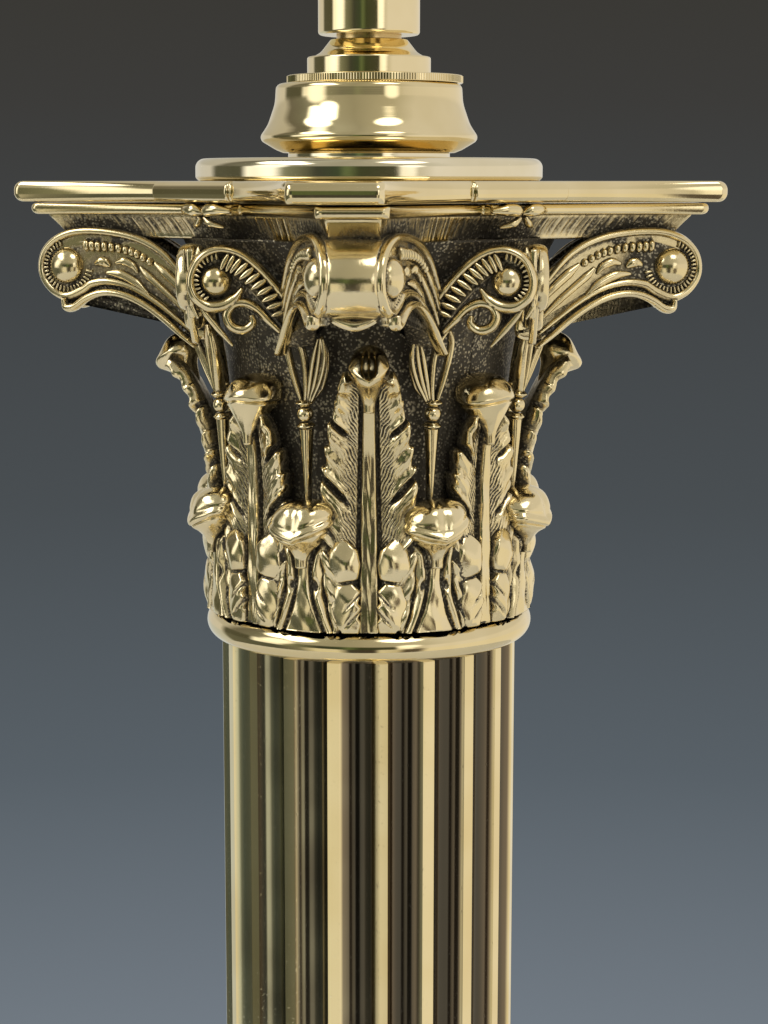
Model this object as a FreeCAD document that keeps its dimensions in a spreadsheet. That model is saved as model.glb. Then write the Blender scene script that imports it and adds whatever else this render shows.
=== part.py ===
import FreeCAD, Part
import math
import os
import Sketcher
from FreeCAD import Placement, Rotation, Vector

# A brass table lamp shaped as a Corinthian column. It stands on a stepped square plinth. A turned base
# ring carries a fluted tube, then a bead collar and a cast capital with two rows of acanthus leaves,
# corner volutes and small inner scrolls. A concave-sided plate, a round moulding, a spun cap, a milled
# ring and a stepped collar lead up to a bayonet lampholder. One threaded tube clamps the whole stack.
# Millimetres, +Z up, origin on the table under the middle of the plinth. The plinth's sides face X and Y.

doc = FreeCAD.newDocument("column_lamp")
sheet = doc.addObject("Spreadsheet::Sheet", "Dims")

DIMENSIONS = [
    # plinth and what closes it
    ("baize_thick", 2.0), ("plinth_half", 75.0), ("plinth_top", 62.0), ("die_half", 46.0),
    ("inlet_height", 8.6), ("inlet_radius", 3.2), ("plate_thick", 1.5), ("ballast_half", 38.0),
    # column
    ("base_ring_top", 84.5), ("shaft_radius", 23.4), ("shaft_bore", 19.0), ("flute_radius", 4.16),
    ("flute_centre", 25.51), ("flute_count", 20.0), ("flute_turn", 7.2), ("collar_bottom", 328.8),
    ("collar_radius", 25.75),
    # capital
    ("capital_bottom", 333.8), ("capital_top", 396.5), ("abacus_under", 391.2), ("cornice_under", 394.7),
    ("cornice_corner", 52.0), ("fascia_corner", 49.6), ("leaf_turn", 2.5),
    # plates and caps above it
    ("abacus_bottom", 396.9), ("abacus_top", 400.0), ("abacus_corner", 54.6), ("abacus_turn", -2.3),
    ("boss_reach", 34.4), ("boss_half", 9.2), ("moulding_radius", 26.8), ("moulding_top", 403.4),
    ("hub_radius", 12.5), ("hub_top", 404.3), ("cap_top", 414.75), ("ring_top", 416.0),
    ("ring_radius", 13.7), ("ring_shift", 0.91), ("stack_collar_top", 421.4), ("rod_radius", 5.0),
    ("rod_bore", 3.5), ("rod_bottom", 13.0), ("rod_top", 430.5),
    # lampholder
    ("holder_bottom", 422.1), ("neck_radius", 7.8), ("holder_radius", 16.5), ("holder_wall", 1.0),
    ("holder_cap_top", 460.0), ("switch_height", 447.0), ("switch_radius", 2.6), ("switch_half", 22.0),
    ("switch_travel", 2.5), ("core_radius", 15.2), ("core_top", 476.0), ("socket_radius", 11.3),
    ("skirt_radius", 14.0), ("thread_radius", 14.3), ("holder_top", 492.0),
    ("shade_ring_bottom", 472.0), ("shade_ring_top", 477.0),
    ("plunger_spacing", 5.5), ("plunger_radius", 2.0),
]
for row, (alias, number) in enumerate(DIMENSIONS, start=1):
    sheet.set(f"A{row}", alias)
    sheet.set(f"B{row}", str(number))
    sheet.setAlias(f"B{row}", alias)
doc.recompute()


class Size:
    """A length taken from the sheet: its number now, and the expression that binds a feature to the cells."""

    def __init__(self, value, text):
        self.value = float(value)
        self.text = text

    def __add__(self, other):
        other = size(other)
        return Size(self.value + other.value, f"({self.text} + {other.text})")

    def __sub__(self, other):
        other = size(other)
        return Size(self.value - other.value, f"({self.text} - {other.text})")

    def __mul__(self, number):
        return Size(self.value * number, f"({self.text} * {number})")


def size(length):
    """A plain number as a Size, or a Size as it is."""
    return length if isinstance(length, Size) else Size(length, repr(float(length)))


def cell(alias):
    """The Size that stands for one cell of the sheet."""
    return Size(sheet.get(alias), f"Dims.{alias}")


def mm(alias):
    """The number in one cell of the sheet."""
    return float(sheet.get(alias))


def origin_plane(body, role):
    """One of a body's own origin planes."""
    return next(f for f in body.Origin.OriginFeatures if f.Role == role)


def sketch_on(body, role, name):
    """A sketch on one of the body's origin planes."""
    sketch = body.newObject("Sketcher::SketchObject", name)
    sketch.AttachmentSupport = [(origin_plane(body, role), "")]
    sketch.MapMode = "FlatFace"
    return sketch


def bind(sketch, constraint, length):
    """Adds a dimension to a sketch and ties it to the sheet."""
    index = sketch.addConstraint(constraint)
    name = f"size{index}"
    sketch.renameConstraint(index, name)
    sketch.setExpression(f"Constraints.{name}", length.text)


def outline(sketch, corners):
    """Draws a closed outline through corners (x, y) or (x, y, radius). A radius bows the edge that leaves
    the corner: to the left of the way it runs where it is above 0, and to the right where it is below 0."""
    points = [(size(c[0]), size(c[1])) for c in corners]
    bows = [size(c[2]) if len(c) > 2 else None for c in corners]
    ends = []
    for i, bow in enumerate(bows):
        start = Vector(points[i][0].value, points[i][1].value, 0)
        end_x, end_y = points[(i + 1) % len(points)]
        end = Vector(end_x.value, end_y.value, 0)
        if bow is None:
            index = sketch.addGeometry(Part.LineSegment(start, end), False)
            ends.append((index, 1, 2))
            continue
        chord = end - start
        left = Vector(-chord.y, chord.x, 0).normalize()
        radius = abs(bow.value)
        reach = math.sqrt(radius**2 - (chord.Length / 2) ** 2)
        centre = (start + end) * 0.5 - left * reach * math.copysign(1, bow.value)
        angles = [math.atan2(p.y - centre.y, p.x - centre.x) for p in (start, end)]
        clockwise = bow.value > 0
        if clockwise:
            angles.reverse()
        circle = Part.Circle(centre, Vector(0, 0, 1), radius)
        index = sketch.addGeometry(Part.ArcOfCircle(circle, *angles), False)
        ends.append((index, 2, 1) if clockwise else (index, 1, 2))
    for i, (index, first, _) in enumerate(ends):
        before, _, last = ends[i - 1]
        sketch.addConstraint(Sketcher.Constraint("Coincident", before, last, index, first))
        x, y = points[i]
        if abs(x.value) < 1e-9:
            sketch.addConstraint(Sketcher.Constraint("PointOnObject", index, first, -2))
        else:
            bind(sketch, Sketcher.Constraint("DistanceX", -1, 1, index, first, x.value), x)
        if abs(y.value) < 1e-9:
            sketch.addConstraint(Sketcher.Constraint("PointOnObject", index, first, -1))
        else:
            bind(sketch, Sketcher.Constraint("DistanceY", -1, 1, index, first, y.value), y)
        if bows[i] is not None:
            radius = size(abs(bows[i].value))
            bind(sketch, Sketcher.Constraint("Radius", index, radius.value), radius)


def turned(label, corners):
    """A turned piece: the outline (radius, height) revolved about the lamp's axis."""
    body = doc.addObject("PartDesign::Body", label)
    body.Label = label
    sketch = sketch_on(body, "XZ_Plane", f"{label}_profile")
    outline(sketch, corners)
    revolution = body.newObject("PartDesign::Revolution", f"{label}_turning")
    revolution.Profile = sketch
    revolution.ReferenceAxis = (sketch, ["V_Axis"])
    revolution.Angle = 360
    doc.recompute()
    return body


def cut_through(body, label, draw, plane="XY_Plane", both_ways=False, count=1):
    """Pockets a sketched shape through a body, count times round the lamp's axis."""
    sketch = sketch_on(body, plane, f"{label}_sketch")
    draw(sketch)
    before = body.Shape.Volume
    pocket = body.newObject("PartDesign::Pocket", f"{label}_cut")
    pocket.Profile = sketch
    pocket.Type = "ThroughAll"
    pocket.Reversed = True
    pocket.Midplane = both_ways
    doc.recompute()
    if count > 1:
        pattern = body.newObject("PartDesign::PolarPattern", f"{label}_round")
        pattern.Originals = [pocket]
        pattern.Axis = (sketch, ["N_Axis"])
        pattern.Angle = 360
        pattern.Occurrences = count
        body.Tip = pattern
        doc.recompute()
    assert body.Shape.Volume < before - 0.01, f"{label} cut nothing"


def circle_at(x, y, radius):
    """Returns a function that draws a circle of that size in a sketch, bound to the sheet."""

    def draw(sketch):
        centre = Vector(size(x).value, size(y).value, 0)
        circle = Part.Circle(centre, Vector(0, 0, 1), size(radius).value)
        index = sketch.addGeometry(circle, False)
        bind(sketch, Sketcher.Constraint("Radius", index, size(radius).value), size(radius))
        for kind, along in (("DistanceX", size(x)), ("DistanceY", size(y))):
            if abs(along.value) < 1e-9:
                axis = -2 if kind == "DistanceX" else -1
                sketch.addConstraint(Sketcher.Constraint("PointOnObject", index, 3, axis))
            else:
                bind(sketch, Sketcher.Constraint(kind, -1, 1, index, 3, along.value), along)

    return draw


def part_object(kind, label, **sizes):
    """A Part primitive whose properties are bound to the sheet."""
    thing = doc.addObject(kind, label)
    thing.Label = label
    for name, length in sizes.items():
        setattr(thing, name, size(length).value)
        if isinstance(length, Size) and "Dims" in length.text:
            thing.setExpression(name, length.text)
    return thing


def box(label, half_x, half_y, bottom, top):
    """A box centred on the lamp's axis, from one height to another."""
    half_x, half_y, bottom, top = size(half_x), size(half_y), size(bottom), size(top)
    thing = part_object("Part::Box", label, Length=half_x * 2, Width=half_y * 2, Height=top - bottom)
    thing.Placement = Placement(Vector(-half_x.value, -half_y.value, bottom.value), Rotation())
    return thing


def rod(label, radius, start, length, axis=Vector(0, 0, 1)):
    """A round bar from a point along an axis."""
    thing = part_object("Part::Cylinder", label, Radius=radius, Height=length)
    thing.Placement = Placement(start, Rotation(Vector(0, 0, 1), axis))
    return thing


def minus(label, base, tools):
    """A piece with several shapes cut out of it."""
    tool = tools[0]
    if len(tools) > 1:
        tool = doc.addObject("Part::MultiFuse", f"{label}_cutters")
        tool.Shapes = tools
    cut = doc.addObject("Part::Cut", label)
    cut.Label = label
    cut.Base = base
    cut.Tool = tool
    doc.recompute()
    return cut


def feature(label, shape):
    """A piece made straight from a shape, where no sketch or primitive fits."""
    thing = doc.addObject("Part::Feature", label)
    thing.Label = label
    thing.Shape = shape
    return thing


def spun(shape, count, first=0.0, step=None):
    """Copies of a shape turned round the lamp's axis, as a list."""
    step = 360.0 / count if step is None else step
    copies = []
    for i in range(count):
        turned_copy = shape.copy()
        turned_copy.rotate(Vector(0, 0, 0), Vector(0, 0, 1), first + i * step)
        copies.append(turned_copy)
    return copies


# --- Plinth: a hollow square casting. The moulding runs round all four sides with mitred corners, so it
# is what two long bars of the same section have in common.

PLINTH_SECTION = [
    (0, cell("baize_thick")),
    (cell("plinth_half"), cell("baize_thick")),
    (cell("plinth_half"), 15.0, -5.0),
    (cell("plinth_half") - 5.0, 20.0),
    (cell("plinth_half") - 7.0, 20.0),
    (cell("plinth_half") - 7.0, 22.0, 19.0),
    (cell("die_half") + 4.0, 38.0),
    (cell("die_half") + 2.0, 38.0),
    (cell("die_half") + 2.0, 40.0),
    (cell("die_half"), 40.0),
    (cell("die_half"), cell("plinth_top") - 8.0, 4.0),
    (cell("die_half") + 4.0, cell("plinth_top") - 4.0),
    (cell("die_half") + 6.0, cell("plinth_top") - 4.0),
    (cell("die_half") + 6.0, cell("plinth_top") - 0.8),
    (cell("die_half") + 5.2, cell("plinth_top")),
    (0, cell("plinth_top")),
]
POST_SPACING = 62.0
POST_RADIUS = 5.0
SCREW_RADIUS = 1.5
BALLAST_FOOT = 24.0


def moulding_bar(label, turn):
    """Half the plinth's section, mirrored and drawn out along one side."""
    body = doc.addObject("PartDesign::Body", label)
    sketch = sketch_on(body, "XZ_Plane", f"{label}_section")
    outline(sketch, PLINTH_SECTION)
    pad = body.newObject("PartDesign::Pad", f"{label}_length")
    pad.Profile = sketch
    pad.Length = mm("plinth_half") * 2
    pad.setExpression("Length", "Dims.plinth_half * 2")
    pad.Midplane = True
    mirror = body.newObject("PartDesign::Mirrored", f"{label}_other_side")
    mirror.Originals = [pad]
    mirror.MirrorPlane = (sketch, ["V_Axis"])
    body.Tip = mirror
    body.Placement = Placement(Vector(), Rotation(Vector(0, 0, 1), turn))
    doc.recompute()
    return body


def make_plinth():
    bars = doc.addObject("Part::Common", "plinth_block")
    bars.Base = moulding_bar("plinth_bar_x", 0)
    bars.Tool = moulding_bar("plinth_bar_y", 90)
    doc.recompute()
    back = Vector(0, mm("plinth_half") + 1.0, mm("inlet_height"))
    hollows = [
        box("rim_hollow", 69.0, 69.0, cell("baize_thick") - 1.0, 14.0),
        box("step_hollow", 58.0, 58.0, 13.0, 21.0),
        box("die_hollow", cell("die_half") - 5.0, cell("die_half") - 5.0, 20.0, cell("plinth_top") - 7.0),
        rod("rod_hole", cell("rod_radius") + 0.2, Vector(0, 0, 40.0), 40.0),
        rod("inlet_hole", 4.6, back, 12.0, Vector(0, -1, 0)),
        rod("inlet_seat", 6.3, back, 2.7, Vector(0, -1, 0)),
    ]
    shell = minus("plinth_shell", bars, hollows)
    posts = []
    for x in (-POST_SPACING, POST_SPACING):
        for y in (-POST_SPACING, POST_SPACING):
            foot = Vector(x, y, mm("baize_thick") + mm("plate_thick"))
            posts.append(rod(f"post_{len(posts)}", POST_RADIUS, foot, 14.5 - foot.z))
    joined = doc.addObject("Part::MultiFuse", "plinth_with_posts")
    joined.Shapes = [shell] + posts
    doc.recompute()
    taps = []
    for x in (-POST_SPACING, POST_SPACING):
        for y in (-POST_SPACING, POST_SPACING):
            taps.append(rod(f"tap_{len(taps)}", SCREW_RADIUS, Vector(x, y, 0), 11.0))
    return minus("plinth_casting", joined, taps)


def make_bottom_parts():
    """The baize, the steel plate with its four countersunk screws, the ballast and the tube's lower nut."""
    baize = box("baize_pad", cell("plinth_half") - 0.5, cell("plinth_half") - 0.5, 0, cell("baize_thick"))
    plate_top = cell("baize_thick") + cell("plate_thick")
    plate = box("bottom_plate_blank", 68.6, 68.6, cell("baize_thick"), plate_top)
    head_top = mm("baize_thick") + mm("plate_thick")
    screws, seats = [], []
    for x in (-POST_SPACING, POST_SPACING):
        for y in (-POST_SPACING, POST_SPACING):
            under = Vector(x, y, mm("baize_thick"))
            head = Part.makeCone(3.0, SCREW_RADIUS, mm("plate_thick"), under)
            shank = Part.makeCylinder(SCREW_RADIUS, 7.0, Vector(x, y, head_top))
            slot = Part.makeBox(6.0, 0.7, 0.6, under - Vector(3.0, 0.35, 0))
            screws.append(head.fuse(shank).removeSplitter().cut(slot))
            seats.append(head)
    seat_group = feature("screw_seats", Part.makeCompound(seats))
    bottom_plate = minus("bottom_plate", plate, [seat_group])
    plate_screws = feature("bottom_plate_screws", Part.makeCompound(screws))
    half = cell("ballast_half")
    ballast_block = box("ballast_block", half, half, BALLAST_FOOT, cell("plinth_top") - 7.0)
    ballast_hole = rod("ballast_hole", cell("rod_radius") + 0.4, Vector(0, 0, BALLAST_FOOT - 4.0), 45.0)
    ballast = minus("ballast_weight", ballast_block, [ballast_hole])
    return [baize, bottom_plate, plate_screws, ballast]


def washer(label, outer, bottom, thickness):
    """A flat washer on the threaded tube."""
    bore = cell("rod_radius") + 0.25
    top = size(bottom) + thickness
    return turned(label, [(bore, bottom), (outer, bottom), (outer, top), (bore, top)])


def hex_nut(label, across_flats, bottom, height):
    """A hexagon nut on the threaded tube, its corners chamfered by a turned blank."""
    body = doc.addObject("PartDesign::Body", f"{label}_hexagon_bar")
    sketch = sketch_on(body, "XY_Plane", f"{label}_hexagon")
    corner = across_flats / math.sqrt(3)
    turns = [math.radians(60 * i) for i in range(6)]
    outline(sketch, [(corner * math.cos(turn), corner * math.sin(turn)) for turn in turns])
    circle_at(0, 0, cell("rod_radius") + 0.03)(sketch)
    sketch.AttachmentOffset = Placement(Vector(0, 0, bottom), Rotation())
    pad = body.newObject("PartDesign::Pad", f"{label}_height")
    pad.Profile = sketch
    pad.Length = height
    doc.recompute()
    trim = doc.addObject("Part::Common", label)
    trim.Label = label
    trim.Base = body
    sizes = {"Radius1": corner + height * 1.6, "Radius2": across_flats / 2, "Height": height}
    dome = part_object("Part::Cone", f"{label}_dome", **sizes)
    dome.Placement = Placement(Vector(0, 0, bottom), Rotation())
    trim.Tool = dome
    doc.recompute()
    return trim


def make_inlet_bush():
    """A flanged brass bush in the back of the plinth, where a lead would come out."""
    outside = Vector(0, mm("plinth_half") - 0.2, mm("inlet_height"))
    inward = Vector(0, -1, 0)
    flange = Part.makeCylinder(6.1, 1.5, outside, inward)
    sleeve = Part.makeCylinder(4.5, 8.0, outside, inward)
    blank = flange.fuse(sleeve).removeSplitter()
    circles = [e for e in blank.Edges if e.Curve.TypeId == "Part::GeomCircle"]
    blank = blank.makeFillet(0.5, [e for e in circles if abs(e.BoundBox.YMax - outside.y) < 1e-6])
    bore = Part.makeCylinder(cell("inlet_radius").value, 20.0, outside + Vector(0, 5, 0), inward)
    return feature("cable_inlet_bush", blank.cut(bore))


# --- Column: a turned base ring, a fluted tube and a bead collar.


def make_base_ring():
    """Attic base: a large torus, a hollow scotia and a smaller torus, with a spigot inside the tube."""
    foot, top = cell("plinth_top"), cell("base_ring_top")
    return turned("base_ring", [
        (cell("rod_radius") + 0.2, foot), (32.0, foot, -4.2), (32.0, foot + 8.2),
        (31.0, foot + 8.2), (31.0, foot + 9.8), (30.4, foot + 9.8, 3.4), (28.6, foot + 14.6),
        (29.6, foot + 14.6), (29.6, foot + 15.8), (28.4, foot + 15.8, -2.6), (28.4, foot + 20.8),
        (26.0, foot + 20.8), (26.0, foot + 21.6, 1.0), (25.1, top),
        (cell("shaft_bore") - 0.1, top), (cell("shaft_bore") - 0.1, top + 6.0),
        (cell("shaft_bore") - 3.0, top + 6.0), (cell("shaft_bore") - 3.0, top - 8.0),
        (cell("rod_radius") + 0.2, top - 8.0),
    ])


def make_shaft():
    """The column's tube with twenty flutes between narrow flat fillets."""
    shaft = turned("fluted_shaft", [
        (cell("shaft_bore"), cell("base_ring_top")), (cell("shaft_radius"), cell("base_ring_top")),
        (cell("shaft_radius"), cell("collar_bottom")), (cell("shaft_bore"), cell("collar_bottom")),
    ])
    flute = circle_at(cell("flute_centre"), 0, cell("flute_radius"))
    cut_through(shaft, "flute", flute, count=int(mm("flute_count")))
    shaft.Placement = FreeCAD.Placement(Vector(), FreeCAD.Rotation(Vector(0, 0, 1), mm("flute_turn")))
    doc.recompute()
    return shaft


def make_collar():
    """The bead between tube and capital, with a spigot down into the tube."""
    low, high = cell("collar_bottom"), cell("capital_bottom")
    return turned("bead_collar", [
        (cell("rod_radius") + 0.2, low - 5.0), (cell("shaft_bore") - 0.1, low - 5.0),
        (cell("shaft_bore") - 0.1, low), (cell("collar_radius") - 1.6, low),
        (cell("collar_radius") - 1.3, low + 0.7, -2.35), (cell("collar_radius") - 1.5, high),
        (cell("rod_radius") + 0.2, high),
    ])


# --- Capital: one casting. A flared bell stands inside two rows of curled leaves. Eight stems rise between
# the upper leaves, and each sends a volute to a corner and a small scroll to the middle of a side. A
# textured fascia and a thin cornice with concave sides close the top.

BELL = [
    (22.9, 0.0), (21.6, 9.0), (21.2, 20.0), (21.6, 32.0), (22.8, 42.0), (25.2, 50.0), (29.0, 57.8),
]
"""The bell's flare: radius, and height above the foot of the capital."""


def make_bell():
    """The bell, bored from below for the threaded tube, with a deck left at the top."""
    low, deck = cell("capital_bottom"), cell("abacus_under") - 9.0
    bore = cell("rod_radius") + 0.2
    corners = [(15.0, low)] + [(radius, low + up) for radius, up in BELL]
    corners += [(bore, low + BELL[-1][1]), (bore, deck), (15.0, deck)]
    return turned("capital_bell", corners)


def concave_square(corner, chamfer_half, side_mid):
    """A square face with its corners on the diagonals, cut flat, and with concave sides."""
    def direction(degrees):
        return Vector(math.cos(math.radians(degrees)), math.sin(math.radians(degrees)), 0)

    points = []
    for i in range(4):
        along, across = direction(45 + 90 * i), direction(135 + 90 * i)
        points += [along * corner - across * chamfer_half, along * corner + across * chamfer_half]
    edges = []
    for i in range(4):
        edges.append(Part.LineSegment(points[2 * i], points[2 * i + 1]).toShape())
        middle = direction(90 * (i + 1)) * side_mid
        edges.append(Part.Arc(points[2 * i + 1], middle, points[(2 * i + 2) % 8]).toShape())
    return Part.Face(Part.Wire(edges))


def raised(face, bottom, top):
    """A flat face at one height drawn up to another."""
    lifted = face.copy()
    lifted.translate(Vector(0, 0, bottom))
    return lifted.extrude(Vector(0, 0, top - bottom))


def side_bosses(reach, half):
    """A flat tab in the middle of each of the four sides, with rounded corners, as one list of faces."""
    round_corner = 1.6
    corners = [(12.0, -half), (reach - round_corner, -half), (reach, round_corner - half)]
    corners += [(x, -y) for x, y in reversed(corners)]
    corners = [Vector(x, y, 0) for x, y in corners]
    middle = reach - round_corner * (1 - math.sqrt(0.5))
    edges = []
    for i, (start, end) in enumerate(zip(corners, corners[1:] + corners[:1])):
        if i in (1, 3):
            side = math.copysign(half - round_corner * (1 - math.sqrt(0.5)), start.y)
            edges.append(Part.Arc(start, Vector(middle, side, 0), end).toShape())
        else:
            edges.append(Part.LineSegment(start, end).toShape())
    return spun(Part.Face(Part.Wire(edges)), 4)


def rounded_plate(face, bottom, top, radius, both=True):
    """A flat plate whose outer edges are rounded, on both faces or only underneath."""
    plate = raised(face, bottom, top)
    flat = [e for e in plate.Edges if e.BoundBox.ZMax - e.BoundBox.ZMin < 1e-6]
    return plate.makeFillet(radius, [e for e in flat if both or e.BoundBox.ZMin < bottom + 0.01])


def make_abacus_layers():
    """The fascia, which is hollowed slightly towards its middle height, and the thin cornice over it."""
    low, mid, high = mm("abacus_under"), mm("cornice_under"), mm("capital_top")
    fascia = raised(concave_square(mm("fascia_corner"), 3.7, 28.6), low, mid + 0.2)
    outline_face = concave_square(mm("cornice_corner"), 4.8, 30.0).fuse(side_bosses(33.0, 5.5))
    cornice = rounded_plate(outline_face.removeSplitter(), mid, high, 0.75, False)
    seat = Part.makeCylinder(20.0, mm("abacus_bottom") - high + 0.2, Vector(0, 0, high - 0.2))
    return [fascia, cornice, seat]


class Leaf:
    """The shape of one acanthus leaf: it stands against the bell, leans out and curls over at its tip.
    Each bend is a stretch of the spine: its length, and the outward tilt in degrees where it ends."""

    def __init__(self, foot_radius, bends, widths, blade_thick, tip_thick, rib_foot, rib_tip):
        self.foot_radius = foot_radius
        self.bends = bends
        self.widths = widths
        self.blade_thick, self.tip_thick = blade_thick, tip_thick
        self.rib_foot, self.rib_tip = rib_foot, rib_tip
        self.length = sum(length for length, _ in bends)

    def spine(self, share):
        """The point (radius, height above the foot) and the outward tilt at a share of the leaf's length."""
        left = share * self.length
        radius, up, tilt = self.foot_radius, 0.0, 0.0
        for length, end_tilt in self.bends:
            run = min(left, length)
            turn = (math.radians(end_tilt) - tilt) * run / length
            chord = run * (math.sin(turn / 2) / (turn / 2) if abs(turn) > 1e-9 else 1.0)
            radius += chord * math.sin(tilt + turn / 2)
            up += chord * math.cos(tilt + turn / 2)
            tilt += turn
            left -= run
            if left <= 1e-9:
                break
        return radius, up, tilt

    def section(self, share, half):
        """A closed slice across the leaf: a flat midrib between two grooves, a swelling blade on each side
        of it, and a back that reaches into the bell."""
        radius, up, tilt = self.spine(share)
        rib = self.rib_foot + (self.rib_tip - self.rib_foot) * share
        thick = self.blade_thick + (self.tip_thick - self.blade_thick) * max(0.0, (share - 0.6) / 0.4)
        droop = half**2 / (2 * radius) + 0.3
        half_front = [(rib, 0.45), (rib + 0.5, -0.35), (half * 0.62 + 0.3, 0.1), (half, -droop)]
        back = [(half * 0.9, -droop - thick * 0.7), (0, -thick)]
        ring = half_front + back + [(-side, depth) for side, depth in back[:1] + half_front[::-1]]
        outward = Vector(math.cos(tilt), 0, -math.sin(tilt))
        origin = Vector(radius, 0, mm("capital_bottom") + up)
        corners = [origin + Vector(0, side, 0) + outward * depth for side, depth in ring]
        return Part.makePolygon(corners + corners[:1])

    def solid(self):
        return Part.makeLoft([self.section(share, half) for share, half in self.widths], True, True)


CORNER_LEAF = Leaf(24.6, [(19.5, 0), (16.5, 27), (4.5, 62), (3.5, 112)],
                   [(0.0, 3.0), (0.1, 4.4), (0.22, 7.0), (0.3, 6.0), (0.42, 7.5), (0.5, 6.3), (0.62, 7.0),
                    (0.7, 5.8), (0.8, 4.6), (0.86, 3.6), (0.93, 3.1), (1.0, 2.2)], 2.4, 2.4, 1.5, 0.5)
SIDE_LEAF = Leaf(24.2, [(21.0, 0), (12.5, 14), (3.4, 100), (2.4, 165)],
                 [(0.0, 3.0), (0.12, 4.2), (0.25, 6.6), (0.34, 5.9), (0.46, 7.0), (0.56, 5.8), (0.66, 6.2),
                  (0.76, 4.6), (0.86, 4.0), (0.91, 3.7), (0.96, 3.6), (1.0, 2.6)], 2.4, 2.6, 1.4, 0.5)
LOWER_LEAF = Leaf(25.2, [(14.2, 0), (3.0, 55), (1.6, 165), (2.6, 172)],
                  [(0.0, 5.6), (0.16, 6.4), (0.32, 5.7), (0.47, 6.4), (0.6, 5.2), (0.68, 5.0), (0.76, 5.0),
                   (0.83, 4.8), (0.9, 4.4), (1.0, 3.0)], 2.8, 2.0, 1.7, 0.7)


def make_leaves():
    """Eight lower leaves, and eight upper ones that are taller under the four corners."""
    turn = mm("leaf_turn")
    leaves = []
    for leaf, first, step in ((CORNER_LEAF, 45.0, 90.0), (SIDE_LEAF, 0.0, 90.0), (LOWER_LEAF, 22.5, 45.0)):
        leaves += spun(leaf.solid(), int(360 / step), first + turn, step)
    return leaves


# A volute is drawn in its own upright plane: x runs out from the lamp's axis, y up from the eye level of
# the scroll's centre. It rises from the stem, rolls over the top and closes round a ball.

VOLUTE_EYE = (47.1, -13.3)
SCROLL_EYE = (0.0, -15.6)


def scroll_plate(turns_out, thickness):
    """A plate with the outline of a rolled band, as a solid in the plane y = 0, made of arcs and lines.
    turns_out lists (point, through, point ...) in the plane (x, z)."""
    edges = []
    for start, through, end in turns_out:
        first, last = Vector(start[0], 0, start[1]), Vector(end[0], 0, end[1])
        if through is None:
            edges.append(Part.LineSegment(first, last).toShape())
        else:
            edges.append(Part.Arc(first, Vector(through[0], 0, through[1]), last).toShape())
    face = Part.Face(Part.Wire(edges))
    face.translate(Vector(0, -thickness / 2, 0))
    return face.extrude(Vector(0, thickness, 0))


def half_volute():
    """One side's volute: a curved arm with a scroll, a round rim on its outer face and a ball in its eye."""
    x, z = VOLUTE_EYE
    arm = scroll_plate([
        ((22.0, -28.5), (30.6, -21.6), (x - 7.6, -17.2)),
        ((x - 7.6, -17.2), (x - 4.6, -17.6), (x - 1.6, -19.6)),
        ((x - 1.6, -19.6), (x - 0.8, -19.0), (x - 0.9, z - 4.1)),
        ((x - 0.9, z - 4.1), (x + 3.9, z - 0.2), (x - 0.4, z + 5.2)),
        ((x - 0.4, z + 5.2), (x - 11.0, z + 3.6), (x - 19.0, z - 4.6)),
        ((x - 19.0, z - 4.6), (x - 23.5, z - 9.0), (22.0, -28.5)),
    ], 3.4)
    rim_points = [(-17.5, -4.0), (-8.6, 3.7), (-0.6, 4.5), (3.2, -0.2), (-0.9, -3.4)]
    rim_points = [Vector(x + out, -1.9, z + up) for out, up in rim_points]
    rim_path = Part.Wire([Part.Arc(*rim_points[:3]).toShape(), Part.Arc(*rim_points[2:]).toShape()])
    start = rim_path.Vertexes[0].Point
    heading = rim_path.Edges[0].tangentAt(rim_path.Edges[0].FirstParameter)
    rim = rim_path.makePipeShell([Part.Wire(Part.makeCircle(0.75, start, heading))], True, False)
    ball = Part.makeSphere(2.35, Vector(x - 0.6, -1.5, z))
    return arm.fuse([rim, ball])


def volute_roll():
    """The band between the two scrolls of a corner, rolled up like a barrel lying on its side."""
    x, z = VOLUTE_EYE
    end, swell, half = 4.3, 4.75, 3.6
    profile = Part.Wire([
        Part.LineSegment(Vector(x, -half, 0), Vector(x + end, -half, 0)).toShape(),
        Part.Arc(Vector(x + end, -half, 0), Vector(x + swell, 0, 0), Vector(x + end, half, 0)).toShape(),
        Part.LineSegment(Vector(x + end, half, 0), Vector(x, half, 0)).toShape(),
        Part.LineSegment(Vector(x, half, 0), Vector(x, -half, 0)).toShape(),
    ])
    roll = Part.Face(profile).revolve(Vector(x, 0, 0), Vector(0, 1, 0), 360)
    roll.translate(Vector(-0.9, 0, z))
    return roll


def inner_scroll():
    """The small scroll of a side: a rolled band with a ball, on the bell just under the fascia."""
    x, z = SCROLL_EYE
    band = scroll_plate([
        ((x - 9.0, z - 8.5), (x - 6.4, z - 1.4), (x - 1.2, z - 3.9)),
        ((x - 1.2, z - 3.9), (x + 3.4, z - 2.6), (x + 4.0, z + 0.6)),
        ((x + 4.0, z + 0.6), (x + 2.6, z + 3.8), (x - 1.0, z + 4.6)),
        ((x - 1.0, z + 4.6), (x - 7.2, z + 2.0), (x - 10.4, z - 7.6)),
        ((x - 10.4, z - 7.6), None, (x - 9.0, z - 8.5)),
    ], 6.0)
    ball = Part.makeSphere(2.3, Vector(x + 0.2, -3.0, z + 0.4))
    return band.fuse(ball)


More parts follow.
